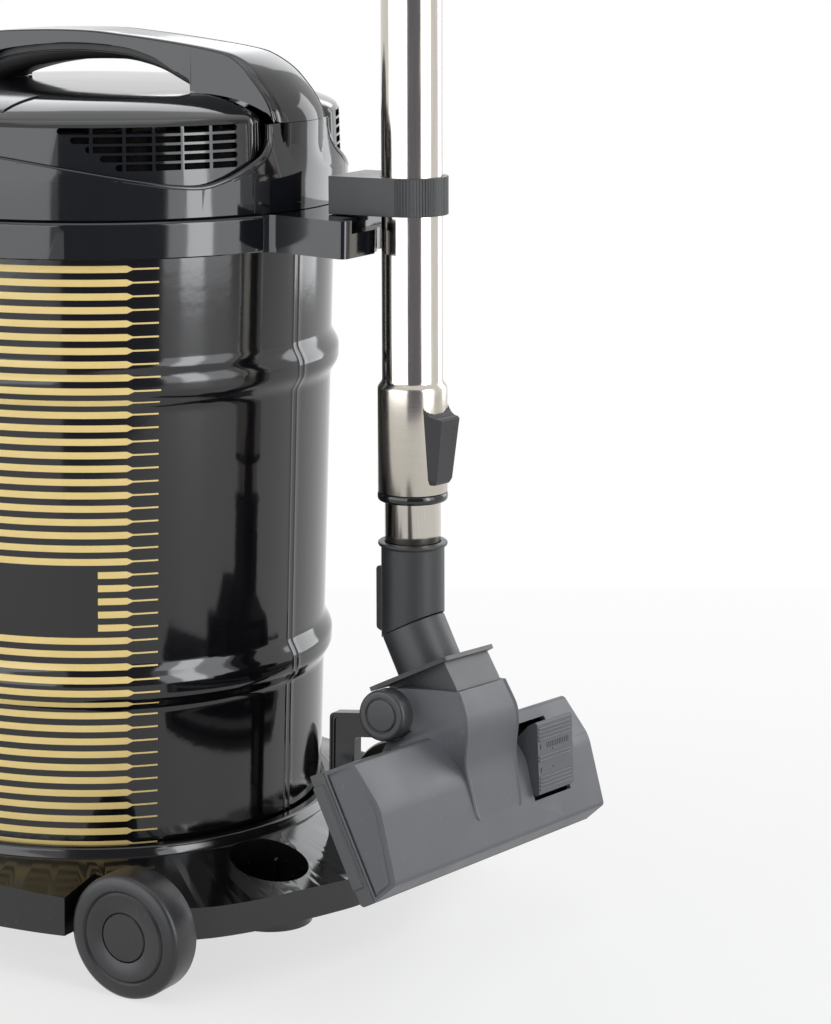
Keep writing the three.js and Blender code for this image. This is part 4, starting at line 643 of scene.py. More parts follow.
def edge_band(offset, above):
    rings = []
    for bearing, z in edge_path:
        low, high = (z + offset, 600) if above else (430, z + offset)
        rings.append([polar(r, math.radians(bearing), h) for r, h in ((140, low), (180, low), (180, high),
            (140, high))])
    return loft(rings)


def nose_body(inset, low, high):
    """The nose widens and flattens downward from the handle's heel into the round wall."""
    rings = []
    top_half = nose_half + 1.3
    for z in [low, 460] + [464 + 1.5 * i for i in range(18)] + [high]:
        half = top_half + (nose_foot_half - top_half) * (1 - smoothstep(z, 466, 481)) - inset
        bend = smoothstep(z, 464, 484)
        radius = 1 / (bend / nose_radius + (1 - bend) / head_radius)
        front = nose_y + 1.2 * (1 - bend) - inset
        rings.append([(-half, 120, z), (half, 120, z)]
            + [(half * k / 12, front - radius + math.sqrt(radius ** 2 - (half * k / 12) ** 2), z)
            for k in range(12, -13, -1)])
    return loft(rings)


def bead(bearings, radius, sunk, across):
    """A round bead along the swept edge, set in from the wall and back from the edge."""
    path = [Vector(polar(wall_radius(z) - sunk, math.radians(bearing), z)) for bearing, z in bearings]
    rings = []
    for i, p in enumerate(path):
        along = (path[min(i + 1, len(path) - 1)] - path[max(i - 1, 0)]).normalized()
        out = Vector((p.x, p.y, 0)).normalized()
        side = along.cross(out).normalized()
        grown = radius * (0.2 + 0.8 * smoothstep(i, 0, 14))
        rings.append([tuple(p + side * (across + v) + out * u) for u, v in (polar(grown, math.tau * k / 10)
            for k in range(10))])
    return loft(rings)


wall_steps = [(head_radius, 468), (head_radius - 0.3, 472), (head_radius - 1.5, 478), (head_top_radius + 1.5,
    485), (head_top_radius + 0.4, 491)]


def wall_radius(z):
    for (r0, z0), (r1, z1) in zip(wall_steps, wall_steps[1:] + [(head_top_radius, 600)]):
        if z < z1:
            return r0 + (r1 - r0) * max(z - z0, 0) / (z1 - z0)


housing_wall = [(head_radius - 0.8, head_low), (head_radius, head_low + 0.8), *wall_steps,
    (head_top_radius, head_top), (head_top_radius - shell, head_top), (head_top_radius - shell + 1, 484),
    (head_radius - shell, 470), (head_radius - shell, floor_top), (44, floor_top), (44, 447.2), (157.5, 447.2),
    (157.5, head_low)]
housing = spin(housing_wall, 200)
merge(housing, carve(nose_body(0, head_low, head_top), disc(head_radius - shell, 0, 600, 200)))
lip_path = [(a, min(z, 496.9)) for a, z in edge_path if a > -62 and z < 497]
under_lip = [(a, z) for a, z in edge_path if a > 63 and z < 499]
in_front = block(-44, 44, 100, 200, 400, 600)
for mirror in both_sides:
    carve(housing, turned(edge_band(0, True), mirror))
    merge(housing, turned(bead(lip_path, 1.55, 1.15, 0.9), mirror))
    carve(housing, turned(bead(under_lip, 0.75, -0.25, 3.1), mirror))
    merge(housing, turned(block(head_radius - 2, 164.8, -15, 15, 456, 462), mirror))
carve(housing, nose_body(shell, floor_top, 520))
carve(housing, carve(disc(head_radius - shell - 0.6, floor_top, 520, 200), in_front))
housing_again = copy_of(housing)
fit_piece(housing, "motor_head_housing", "base", head_gloss, ["head_housing"], edge=0.7,
    rounds=3, angle=38)

# ---- Dome cover: gloss black ABS with a grille of five rows of slots let into
# each side, moulded open, over a foam exhaust pad.
dome_peak = 514.5
dome_top = smooth_line([(155.6, 498), (153.4, 501.6), (147, 504.8), (135, 508.8), (120, 511.6), (97, 513.2),
    (60, 514.0), (25, 514.4), (0, dome_peak)], 5)
dome_top = [(max(r, 0), z) for r, z in dome_top[:-1]] + [(0, dome_peak)]
rear_bearings = [math.radians(a) for a in [1.8 * i for i in range(200) if not 70 < 1.8 * i < 110]
    + [70.5 + 0.5 * i for i in range(79)]]
dome = spin([(157.4, 458)] + dome_top + [(0, 511.9), (96, 508.1), (146, 501), (152.6, 496), (154.6, 458)],
    angles=sorted(rear_bearings), swell=lambda a: -7 * smoothstep(90 - abs(math.degrees(a) - 90), 72.5, 78.5)
    if 0 < a < math.pi else 0)
for mirror in both_sides:
    carve(dome, turned(edge_band(-3.5, False), mirror))
for start, end in ((78.4, 101.6), (-117, -63)):
    wedge = [[polar(r, math.radians(a), z) for r, z in ((130, 430), (185, 430), (185, 497.5), (130, 497.5))]
        for a in [start + (end - start) * i / 12 for i in range(13)]]
    carve(dome, loft(wedge))
carve(dome, prism([(-30.5, 140), (30.5, 140), (32, 175), (-32, 175)], 430, 600))
carve(dome, housing_again)
grille_columns = [(28.4, 35.9), (35.9, 42.9), (42.9, 49.3), (49.3, 55.7), (55.7, 62.4), (62.4, 69.3)]
grille_rows = [28.4, 31.6, 34.8, 37.9, 41.1]
grille_top, row_pitch, slot_half, slot_round, bar_half_deg = 496.8, 5.3, 1.9, 1.6, 0.42
slots = []
for row, row_start in enumerate(grille_rows):
    z = grille_top - row_pitch * row
    for column, (start, end) in enumerate(grille_columns):
        first = max(start, row_start)
        if end - first < 0.9:
            continue
        a, b = first + (0 if first > start else bar_half_deg), end - bar_half_deg
        half = 159 * math.sin(math.radians((b - a) / 2))
        left, right = (column == 0 or first > start), column == len(grille_columns) - 1
        outline = arc(half - slot_round, 0, slot_half, -90, 90, 6) if right else [(half, -slot_half),
            (half, slot_half)]
        outline += arc(slot_round - half, 0, slot_half, 90, 270, 6) if left else [(-half, slot_half),
            (-half, -slot_half)]
        slots.append(turned(prism(outline, 146, 170), side_on, moved(0, 0, z), rotation((a + b) / 2, "Z")))
grille = gather(slots)
grille_other = turned(copy_of(grille), other_side)
carve(dome, grille, grille_other)
button_outline = [(103, 38), (138, 38), (142.5, 20), (142.5, -20), (138, -38), (103, -38), (96, -19), (93, 0),
    (96, 19)]
carve(dome, prism(button_outline, 492, 540))

# ---- Carrying handle: gloss black ABS arch screwed to the dome, flat-sided with a
# rounded back, running down into the nose, with a satin grip strip beneath.
handle_foot = 497.5
arch_outer = [(160.9, handle_foot), (160, 501), (158.2, 505.5), (154.5, 511.5), (148.5, 518.5), (140.3, 526),
    (131.5, 531.4), (119.8, 536.2), (105, 538.8), (91, 540.6), (60, 543.8), (35, 545.8), (13.4, 547.2),
    (-27.6, 546.6), (-69.9, 543.4), (-107, 536.6), (-132, 527), (-147, 515), (-153, 506), (-154.5, handle_foot)]
arch_inner = [(-65, 506), (-64.6, 516), (-62, 524), (-53, 531.6), (-33, 535.6), (-13, 537.7), (6, 538.6),
    (25, 538.3), (43.5, 537), (56, 534.5), (68, 531), (80, 525.6), (88, 521.9), (92, 519.8), (93, 517),
    (93, 505)]


def handle_half(y, z):
    drop = min(max((541 - z) / 17, 0), 1)
    heel = smoothstep(530 - z, 0, 33) * smoothstep(abs(y - 3), 100, 150)
    return 22 + 6 * drop + (nose_half - 28) * heel


def inset_line(outline, distance):
    n = len(outline)
    area = sum(outline[i][0] * outline[(i + 1) % n][1] - outline[(i + 1) % n][0] * outline[i][1]
        for i in range(n))
    turn = 1 if area > 0 else -1
    line = []
    for i in range(n):
        p, q, r = Vector(outline[i - 1]), Vector(outline[i]), Vector(outline[(i + 1) % n])
        a, b = (q - p).normalized(), (r - q).normalized()
        na, nb = Vector((-a.y, a.x)) * turn, Vector((-b.y, b.x)) * turn
        mitre = (na + nb)
        mitre /= max(mitre.length_squared / 2, 0.35)
        line.append(tuple(q + mitre * distance))
    return line


def handle_body(grow):
    outline = (smooth_line(arch_outer, 4) + [(-142, handle_foot), (-132, 500), (-120, 503)]
        + smooth_line(arch_inner, 4) + [(120, 503), (140, handle_foot)])
    # a rounded bead runs along each side edge with a shallow groove inside it
    edge = [(0, 1.3), (0.3, 0.6), (0.9, 0.25), (1.5, 0.45), (1.9, 1.0), (2.3, 1.25), (2.8, 1.0), (3.6, 0.5),
        (5, 0.1), (7, 0)]
    columns = [(-1 + far / 26, inset) for far, inset in edge]
    columns += [(x, 0) for x in (-0.45, -0.2, 0, 0.2, 0.45)] + [(-x, inset) for x, inset in reversed(columns)]
    rings = []
    for share, inset in columns:
        points = []
        for y, z in inset_line(outline, inset - grow):
            x = share * (handle_half(y, z) + grow)
            reach = smoothstep(y, 96, 150)
            side = min(abs(x), nose_radius - 1)
            points.append((x, y - reach * (nose_radius - math.sqrt(nose_radius ** 2 - side ** 2)), z))
        rings.append(points)
    return loft(rings)


seat_cut = disc(200, 430, handle_foot, 96)
under_dome = spin([(156.2, 440)] + [(r + (0.6 if r > 150 else 0), z + 0.3) for r, z in dome_top] + [(0, 440)],
    200)
grip_half = 19.6
grip_line = smooth_line([(-66, 526)] + arch_inner[3:13] + [(94, 518.5)], 4)
grip_depths = [(-70, 16), (-32, 12.6), (1, 10.2), (39, 7.6), (60, 6.8), (95, 6.4)]


def grip_body(grow, half):
    rings = []
    for y, z in grip_line:
        for (y0, d0), (y1, d1) in zip(grip_depths, grip_depths[1:]):
            if y0 <= y <= y1:
                deep = d0 + (d1 - d0) * (y - y0) / (y1 - y0)
        section = [(half + grow, 3.6 + grow), (half + grow, -3.4), (half - 0.9, -3.9), (half - 0.9, -4.3),
            (half - 0.2, -4.8), (half - 0.9, -deep * 0.72), (half - 3.4, -deep * 0.93 - 0.2), (half - 7, -deep)]
        rings.append([(x, y, z + dz) for x, dz in section] + [(-x, y, z + dz) for x, dz in reversed(section)])
    return loft(rings)


handle = handle_body(0)
under_dome_again = copy_of(under_dome)
carve(handle, under_dome, seat_cut, grip_body(0.3, grip_half))
fit_piece(handle, "carrying_handle", "base", head_gloss, ["handle_cover"], edge=0.4,
    rounds=2, angle=50)
carve(dome, carve(handle_body(0.35), block(-90, 90, -200, 120, 400, 514.6)))
fit_piece(dome, "dome", "base", head_gloss, ["dome_cover"], edge=0.35, rounds=2,
    angle=40)
grip_plastic = satin_plastic("satin_grip_strip", "#161617", "#1d1d1f", 0.42, 0.55, grain_mm=0.6)
fit_piece(carve(grip_body(0, grip_half), under_dome_again), "grip_strip", "base",
    grip_plastic, ["handle_grip"], edge=0, sharp=60)

# ---- Power rocker: long gloss panel set in the dome beside the handle, pressed
# to switch the motor; its rim stands a little proud.
def dome_skin(rise):
    return spin([(0, 497), (155.6, 497)] + [(r, z + rise) for r, z in dome_top], 160)


rocker = carve(prism([(x + (-0.5 if x > 115 else 0.5), y * 0.985) for x, y in button_outline], 497, 540),
    dome_skin(1.0), how="INTERSECT")
rocker_plastic = gloss_abs("gloss_abs_rocker", "#101011", "#19191b", 0.16, 0.24, dust=0.1)
fit_piece(rocker, "power_rocker", "power_button", rocker_plastic, ["power_button"],
    edge=0.6, rounds=2)

# ---- Wand: two stainless tubes that slide into each other. The outer one is drawn
# and polished, with a swaged end turned on a lathe; the inner one is bare polished.
inner_radius, outer_radius, swage_top_m = 16.6, 17.9, 0.3462
lean = moved(0, 236, 200) @ rotation(1.07, "X")
twist = lean @ rotation(-9.5, "Z")


def worked_steel(name, dull, pale, smooth, rough, stretch, depth_mm=0.004):
    """Stainless steel with fine lines along the way it was worked, and a few handling marks."""
    material, add = blank_material(name)
    where = add("TexCoord").outputs["Object"]
    place = add("Mapping", {"Vector": where, "Scale": stretch})
    lines = add("TexNoise", {"Vector": place, "Scale": 1, "Detail": 3, "Roughness": 0.7})
    haze = add("TexNoise", {"Vector": where, "Scale": 25, "Detail": 3})
    tone = add("Mix", {0: lines, 6: linear(dull), 7: linear(pale)}, data_type="RGBA")
    sheen = add("MapRange", {"Value": lines, 1: 0.3, 2: 0.7, 3: smooth, 4: rough})
    smear = add("Math", {0: haze, 1: 0.06, 2: sheen}, operation="MULTIPLY_ADD")
    relief = add("Bump", {"Height": lines, "Strength": 0.4, "Distance": depth_mm / 1000})
    skin = add("BsdfPrincipled", {"Base Color": tone, "Metallic": 1, "Roughness": smear, "Normal": relief})
    add("OutputMaterial", {"Surface": skin})
    return material


# lines 0.15 mm apart run along the drawn tube and round the lathe-turned sleeve
drawn_steel = worked_steel("drawn_stainless", "#b7b0a6", "#d3cec5", 0.06, 0.13, (1500, 1500, 12), 0.0015)
lathe_steel = worked_steel("lathe_turned_stainless", "#b3aca2", "#cfc9bf", 0.14, 0.22, (60, 60, 4500), 0.0015)
outer_tube = spin([(19.5, 81.7), (19.7, 81.5), (20.4, 81.5), (20.6, 81.7), (20.6, 143), (20.45, 144.1),
    (20.0, 145.2), (18.7, 147), (18.1, 148), (outer_radius, 149.3), (outer_radius, 648.6), (17.7, 649.6),
    (17.4, 650), (17.2, 649.8), (17.0, 649), (17.0, 147.5), (19.5, 142)], 120)
tube = fit_piece(outer_tube, "wand_outer_tube_steel", "wand_upper", drawn_steel,
    ["wand_outer_tube"], twist, edge=0)
tube.data.materials.append(lathe_steel)
for face in tube.data.polygons:
    face.material_index = int(face.center.z < swage_top_m)
fit_piece(spin([(15.4, 17.3), (15.7, 17), (16.3, 17), (inner_radius, 17.3), (inner_radius, 589.7), (16.3, 590),
    (15.7, 590), (15.4, 589.7)], 120), "wand_inner_tube_steel", "wand_lower", drawn_steel,
    ["wand_inner_tube"], twist, edge=0)

# ---- Wand end ring and guide sleeve: satin black mouldings snapped into the end
# of the outer tube to guide the inner one.
wand_black = satin_plastic("satin_wand_trim", "#1a1a1c", "#242427", 0.3, 0.42, grain_mm=0.5, depth_mm=0.015,
    scuff="#3a3a3c")
fit_piece(spin([(16.9, 76.4), (17.2, 76)] + [(19.4, 76), (20.2, 76.4), (20.8, 77.4), (20.9, 78.6), (20.85, 80),
    (20.6, 80.9), (20.2, 81.2), (16.9, 81.2)], 120), "tube_end_trim", "wand_upper",
    head_gloss, ["tube_end_ring"], twist, edge=0, sharp=60)
fit_piece(ring(16.9, 19.3, 82.5, 140, 96), "guide_bush", "wand_upper", wand_black,
    ["guide_sleeve"], twist, edge=0.4)


# ---- Slide lock: black moulded wedge on the swaged collar, with a ribbed thumb
# scoop on top and chevrons let into its face; pushed down to free the tubes.
def side_prism(outline, x0, x1):
    return turned(prism(outline, x0, x1), side_on)


def front_prism(outline, y0, y1):
    return turned(prism([(x, -z) for x, z in outline], y0, y1), lay_along_y)


def wedge_section(z, crest, base_half, crest_half):
    return [(-base_half, 12, z), (base_half, 12, z), (base_half, 18.9, z), (crest_half, crest, z),
        (-crest_half, crest, z), (-base_half, 18.9, z)]


wedge = loft([wedge_section(88, 22.2, 8, 6.6), wedge_section(91, 24, 8.7, 7.2), wedge_section(124, 28.2, 10.9,
    8.3), wedge_section(136, 29.9, 11.6, 8.8)])
carve(wedge, disc(20.9, 0, 200, 120))
carve(wedge, side_prism([(18, 134.8), (36, 121.5), (36, 150), (18, 150)], -30, 30))
valley = [(26.2 + y, 137.6 + z) for y, z in (polar(9.6 - (0.28 if i % 2 else 0), math.tau * i / 90)
    for i in range(90))]
carve(wedge, side_prism(valley, -30, 30))
chevrons = []
for k in range(6):
    z = 122.5 - 3.9 * k
    half = 4.6 - 0.28 * k
    crest = 24 + (z - half - 89) * 4.2 / 33
    chevrons.append(front_prism([(-half, z), (0, z - half), (half, z), (half, z - 0.75), (0, z - half - 0.75),
        (-half, z - 0.75)], crest + 0.1, crest + 3))
carve(wedge, gather(chevrons))
fit_piece(wedge, "slide_lock_wedge", "slide_lock", wand_black, ["slide_lock"], twist,
    edge=0.9, rounds=3, angle=40)

# ---- Parking clamp: dark grey moulded collar round the outer tube, its round side
# finely serrated, with a tongue at the back that drops into the arm's slot.
clamp_radius, notch, notches = 21.5, 0.55, 76
serrated = [polar(clamp_radius - notch * (i % 2), math.pi * i / notches) for i in range(notches + 1)]
clamp = prism([(-clamp_radius, -44), (clamp_radius, -44)] + serrated, 246.2, 268.6)
carve(clamp, block(-18.3, 18.3, -40.8, -20.5, 245, 265.4))
merge(clamp, block(-15, 15, -39, -30, 235.2, 266.6))
carve(clamp, disc(18.2, 0, 400, 120))
neck_grey = satin_plastic("dark_grey_neck_plastic", "#262728", "#2e2f30", 0.34, 0.45, grain_mm=0.5,
    depth_mm=0.02, scuff="#4b4b4d")
fit_piece(clamp, "wand_parking_clamp", "wand_upper", neck_grey, ["parking_clamp"],
    lean, edge=0.35, angle=50)

# ---- Neck socket: dark grey moulded elbow that the inner tube is pushed into, with
# a rolled rim, a rib behind for the parking hook and a mitred foot.
mitre_deg = 28.7
barrel = spin([(0, -30), (18.8, -30), (18.8, 47.6), (19.2, 48.4), (20.3, 48.9), (20.7, 49.8), (20.5, 50.7),
    (19.8, 51.2), (0, 51.2)], 120)
carve(barrel, turned(block(-60, 60, -60, 60, -100, 0), rotation(mitre_deg, "X")))
fin = side_prism([(-17, -9), (-24.4, -6.7), (-25.8, -5.9), (-26.2, -4.6)] + arc(-23.7, 30.2, 2.5, 180, 90, 5)
    + [(-17, 32.7)], -2.6, 2.6)
merge(barrel, fin)
carve(barrel, disc(16.9, 16.7, 60, 120), disc(14.6, -60, 60, 96))
fit_piece(barrel, "neck_elbow", "wand_lower", neck_grey, ["neck_socket"], twist,
    edge=0.5, angle=40)

# ---- Yoke: graphite moulding that swivels on the socket; a short tube, a thin
# flange plate and a drum that the floor head tilts round.
neck = twist @ rotation(mitre_deg - 90, "X")
swivel = neck @ rotation(-11, "Y")
tilt = swivel @ moved(0, 46.2, -9.9)
neck_tube = turned(spin([(0, -45.7), (19.1, -45.7), (19.6, -45.2), (19.6, -17.6), (0, -17.6)], 120),
    lay_along_y, moved(0, 0, 9.9))
plate = [(-48.6, -5.5), (-47, 0.4), (-30.8, 36.6), (-29.8, 38), (-28, 38.6), (28, 38.6), (29.8, 38),
    (30.8, 36.6), (47, 0.4), (48.6, -5.5)]
drum_radius, drum_half, hub_radius = 36, 26.8, 14.4
drum_side = [(-17.6, 35), (0, drum_radius), *arc(0, 0, drum_radius, 88, 48, 24), (4, 3), (0, -hub_radius),
    *arc(0, 0, hub_radius, -100, -150, 8), (-17.6, -5)]
yoke = merge(side_prism(drum_side, -drum_half, drum_half), front_prism(plate, -18.6, -16))
merge(yoke, neck_tube, rod(hub_radius, -drum_half, drum_half, 96))
carve(yoke, turned(disc(14.6, -51, 40, 96), lay_along_y, moved(0, 0, 9.9)), rod(3.1, -60, 60, 32))
yoke_grey = satin_plastic("graphite_yoke", "#2c2d2f", "#353638", 0.38, 0.48, grain_mm=0.45, depth_mm=0.02,
    scuff="#66676a")
head_grey = satin_plastic("graphite_floor_head", "#414246", "#4a4b50", 0.4, 0.52, grain_mm=0.45, depth_mm=0.02,
    scuff="#77787b")
fit_piece(yoke, "neck_yoke_moulding", "neck", yoke_grey, ["neck_yoke"], tilt, edge=0.5,
    rounds=2, angle=35)

# ---- Parking bracket: gloss black L-shaped moulding plugged into the base, with a
# raised rim round a thin web; its arm cradles the neck's pivot barrel.
tip_y = 233.0


def bracket_outline(inset, foot=49.3):
    y0, y1, c = 181.0, 198.7, 3.4
    top = lambda y: 137.6 + 0.14 * (y - y0)
    return ([(y0 + inset, foot), (y1 - inset, foot), (y1 - inset, top(y1) - 17.9 + inset),
        (y1 + 1 - inset * 0.3, top(y1 + 1) - 15.9 + inset), (y1 + 3, top(y1 + 3) - 15.5 + inset),
        (tip_y - 5, top(tip_y - 5) - 15.5 + inset), (tip_y - inset, top(tip_y) - 10.5 + inset),
        (tip_y - inset, top(tip_y) - inset)] + arc(y0 + c + inset, top(y0) - c - inset, c, 90, 180, 6))


bracket = side_prism(bracket_outline(0), -4, 4)
for inset, web_half in ((2.6, 2), (1.2, 3.1)):
    for x0, x1 in ((web_half, 8), (-8, -web_half)):
        pocket = side_prism(bracket_outline(inset, 73.3), x0, x1)
        carve(bracket, carve(pocket, turned(rod(17.8, -60, 60, 64), tilt)))
carve(bracket, turned(rod(15.2, -60, 60, 96), tilt))
fit_piece(bracket, "parking_hook", "base", head_gloss, ["parking_bracket"], edge=0.45,
    rounds=2)

# ---- Floor head cover: graphite moulding with a soft crease along its back, a
# channel round each end panel and a raised hood over the tilt joint.
def rounded(corners, steps=5):
    """A closed outline whose (a, b, radius) corners are each turned on their radius."""
    line = []
    for i, corner in enumerate(corners):
        p, q, s = (Vector(corners[(i + k) % len(corners)][:2]) for k in (-1, 0, 1))
        if not corner[2]:
            line.append(tuple(q))
            continue
        a, b = (p - q).normalized(), (s - q).normalized()
        half = a.angle(b) / 2
        centre = q + (a + b).normalized() * (corner[2] / math.sin(half))
        first = q + a * (corner[2] / math.tan(half)) - centre
        last = q + b * (corner[2] / math.tan(half)) - centre
        start = math.atan2(first.y, first.x)
        swing = (math.atan2(last.y, last.x) - start + math.pi) % math.tau - math.pi
        line += [tuple(centre + Vector(polar(1, start + swing * k / steps)) * corner[2])
            for k in range(steps + 1)]
    return line


def tapered(outline, half, upper_half):
    rings = []
    for share in (-1, -0.6, -0.2, 0.2, 0.6, 1):
        rings.append([(share * (half + (upper_half - half) * min(max((z + 2.6) / 18, 0), 1)), y, z) for y,
            z in outline])
    return loft(rings)


pedal_x = -68.8
cover_line = [(20.8, -2.3, 0), (21.4, 16.3, 3.2), (50.4, 21.9, 26), (93.4, 13.1, 3.2), (97.4, -2.3, 0)]
cover = tapered(rounded(cover_line, 8), 134, 131)
hood_stations = [(-12.5, 30, 44, 38.4), (3.5, 30, 44, 38.4), (14, 31.3, 48, 38.3), (21, 32.3, 58, 37.6),
    (28, 32.8, 52, 35.2), (36, 32.8, 44, 30.4), (45, 32.2, 36, 25.6), (60, 30.6, 31.6, 21.4),
    (72, 29.4, 30, 18.3)]


def hood_body(inset, lip=0.6):
    rings = []
    stations = smooth_line(hood_stations, 5) + [(74.6, 28.6, 29.3, 17.7), (75.7, 27.8, 28.7, 17.4),
        (76, 26.8, 28, 17.3)]
    for y, top, foot, z in stations:
        t, f, h = top - inset, foot - inset, z - inset
        mid = lambda share: t + (f - t) * share
        side = smooth_line([(f, 4), (mid(0.5), 4 + 0.25 * (h - 4)), (mid(0.16), 4 + 0.6 * (h - 4)),
            (t, h - 2.6)], 5)
        half = [(f, -9)] + side + [(t, h - 1.6), (t - 0.25, h - 0.7), (t - 0.9, h - 0.12), (t - 1.7, h),
            (t - 2.6, h - 0.25 * lip / 0.6), (t - 3.3, h - lip), (t - 4.4, h - lip - 0.1)]
        rings.append([(x, y, v) for x, v in half] + [(-x, y, v) for x, v in reversed(half)])
    return loft(rings)


below_frame = block(-200, 200, 20.8, 200, -60, -2.3)
merge(cover, carve(hood_body(0), below_frame))
carve(cover, side_prism([(3.5, 80), (3.5, 37.8), (-12.5, 6), (-60, 6), (-60, 80)], -80, 80))
inner_line = [(23.2, -7), (23.2, 13.9), (50.4, 19.5), (92.6, 10.5), (94.4, -7)]
carve(cover, tapered(inner_line, 131.6, 128.6), rod(36.5, -27.4, 27.4, 128))
carve(cover, block(-27.4, 27.4, -60, 26, -60, 20))
carve(cover, carve(hood_body(2.4, 0.2), block(-27.4, 27.4, 20, 72, -60, 60), how="INTERSECT"))
carve(cover, rod(3.1, -80, 80, 32))
for mirror in both_sides:
    carve(cover, turned(rod(16.2, 44.4, 80, 96), mirror))
    channel = carve(tapered(rounded([(22.9, -1.0, 0.6), (23.3, 14.7, 2.2), (50.4, 19.9, 24), (92.2, 11.4, 2.4),
        (95.2, -1.0, 0.6)], 8), 140, 137),
        tapered(rounded([(24.7, 0.6, 0.6), (25.0, 13.3, 1.6), (50.4, 18.2, 22), (91.0, 9.8, 1.8),
        (93.4, 0.6, 0.6)], 8), 145, 142))
    carve(channel, block(-200, 129.6, -60, 200, -60, 60))
    carve(channel, tapered([(15, -6), (15, 30), (105, 30), (105, -6)], 132.9, 129.9))
    carve(cover, turned(channel, mirror))
carve(cover, block(pedal_x - 24, pedal_x + 24, 29.9, 76.9, -2, 60), block(-200, 200, 19.6, 200, -60, -2.3))
fit_piece(cover, "floor_head_cover", "nozzle", head_grey, ["nozzle_cover"], tilt, edge=0.7,
    rounds=3, angle=38)

# ---- Floor head frame: the lower graphite tier clipped under the cover, with end
# bumpers, the air mouth and two brush slots; a steel sole plate is screwed beneath.
brush_rows = (30.5, 80.5)
frame_line = [(20, -11.6, 0.8), (96.4, -11.6, 1.2), (97.8, -10, 0.8), (97.8, -2.6, 0.9), (20.4, -2.6, 0.9)]
tier = side_prism(rounded(frame_line, 4), -134.6, 134.6)
merge(tier, block(-136.2, 136.2, 26.8, 87.4, -11.6, -5))
carve(tier, block(-131.4, 131.4, 23.2, 94.8, -9, 20), block(-116, 116, 46, 64, -60, 0))
for y in brush_rows:
    carve(tier, block(-120, 120, y - 4.6, y + 4.6, -60, 0))
tier_grey = satin_plastic("graphite_floor_frame", "#393a3b", "#434445", 0.42, 0.55, grain_mm=0.5, depth_mm=0.03,
    scuff="#6a6a66")
fit_piece(tier, "floor_head_frame", "nozzle", tier_grey, ["nozzle_frame"], tilt, edge=0.55,
    rounds=2)
sole = block(-128, 128, 22.8, 73, -13.2, -11.9)
carve(sole, block(-116, 116, 46, 64, -60, 0), block(-120, 120, 25.9, 35.1, -60, 0))
for x in (-122, 122):
    carve(sole, turned(spin([(0, -13.3), (2.6, -13.3), (1.4, -12), (1.4, -11), (0, -11)], 32), moved(x, 55, 0)))
rolled_steel = worked_steel("rolled_steel", "#8f8e8b", "#b4b3b0", 0.22, 0.36, (20, 1600, 1600), 0.003)
fit_piece(sole, "sole_sheet", "nozzle", rolled_steel, ["sole_plate"], tilt, edge=0.15)

# ---- Brush carriage and strips: black carrier that rises and drops as one, with
# two rows of bristle tufts set in it.
carriage_z = -3.4
carriage = merge(*[block(-118, 118, y - 5.4, y + 5.4, carriage_z, carriage_z + 2) for y in brush_rows],
    *[block(x - 4, x + 4, *brush_rows, carriage_z, carriage_z + 2) for x in (-112, 40, 112)],
    *[block(-117, 117, y - 4.3, y + 4.3, carriage_z - 4.8, carriage_z + 0.2) for y in brush_rows],
    block(-71.8, -65.8, 27.5, 33.5, carriage_z, 5.5), block(-118, -65.8, 27.5, 33.5, carriage_z, carriage_z
    + 2))
fit_piece(carriage, "brush_carrier", "brush_carriage", wand_black, ["brush_carriage"],
    tilt, edge=0.3)
bristle_black, add = blank_material("nylon_bristles")
where = add("TexCoord").outputs["Object"]
tips = add("TexNoise", {"Vector": where, "Scale": 600, "Detail": 1})
tone = add("Mix", {0: tips, 6: linear("#121213"), 7: linear("#2b2b2d")}, data_type="RGBA")
skin = add("BsdfPrincipled", {"Base Color": tone, "Roughness": 0.42, "Sheen Weight": 0.2})
add("OutputMaterial", {"Surface": skin})
strip_top, tip_z, tuft_pitch = carriage_z - 5.1, -12.75, 4
for name, row in zip(("rear", "front"), brush_rows):
    verts, faces = [], []
    for tuft in range(58):
        for hair in range(7):
            dx, dy = polar(0.75 if hair < 6 else 0, math.tau * hair / 6)
            x0, y0 = -114 + tuft_pitch * tuft + dx, row + dy
            lean_x, lean_y = 0.9 * math.sin(tuft * 2.7 + hair), 0.45 * math.cos(tuft * 1.9 + hair * 2.3)
            n = len(verts)
            for z, dx, dy, r in ((strip_top - 1.2, 0, 0, 0.24), (tip_z, lean_x, lean_y, 0.15)):
                verts += [(x0 + dx + u, y0 + dy + v, z) for u,
                    v in (polar(r, math.tau * k / 4) for k in range(4))]
            faces += [(n, n + 1, n + 2, n + 3), (n + 4, n + 5, n + 6, n + 7)]
            faces += [(n + k, n + (k + 1) % 4, n + 4 + (k + 1) % 4, n + 4 + k) for k in range(4)]
    tufts = shape(verts, faces)
    strip = gather([tufts, block(-116, 116, row - 2, row + 2, strip_top - 1.6, strip_top)])
    fit_piece(strip, f"bristles_{name}", "brush_carriage", bristle_black,
        [f"brush_strip_{name}"], tilt, edge=0)

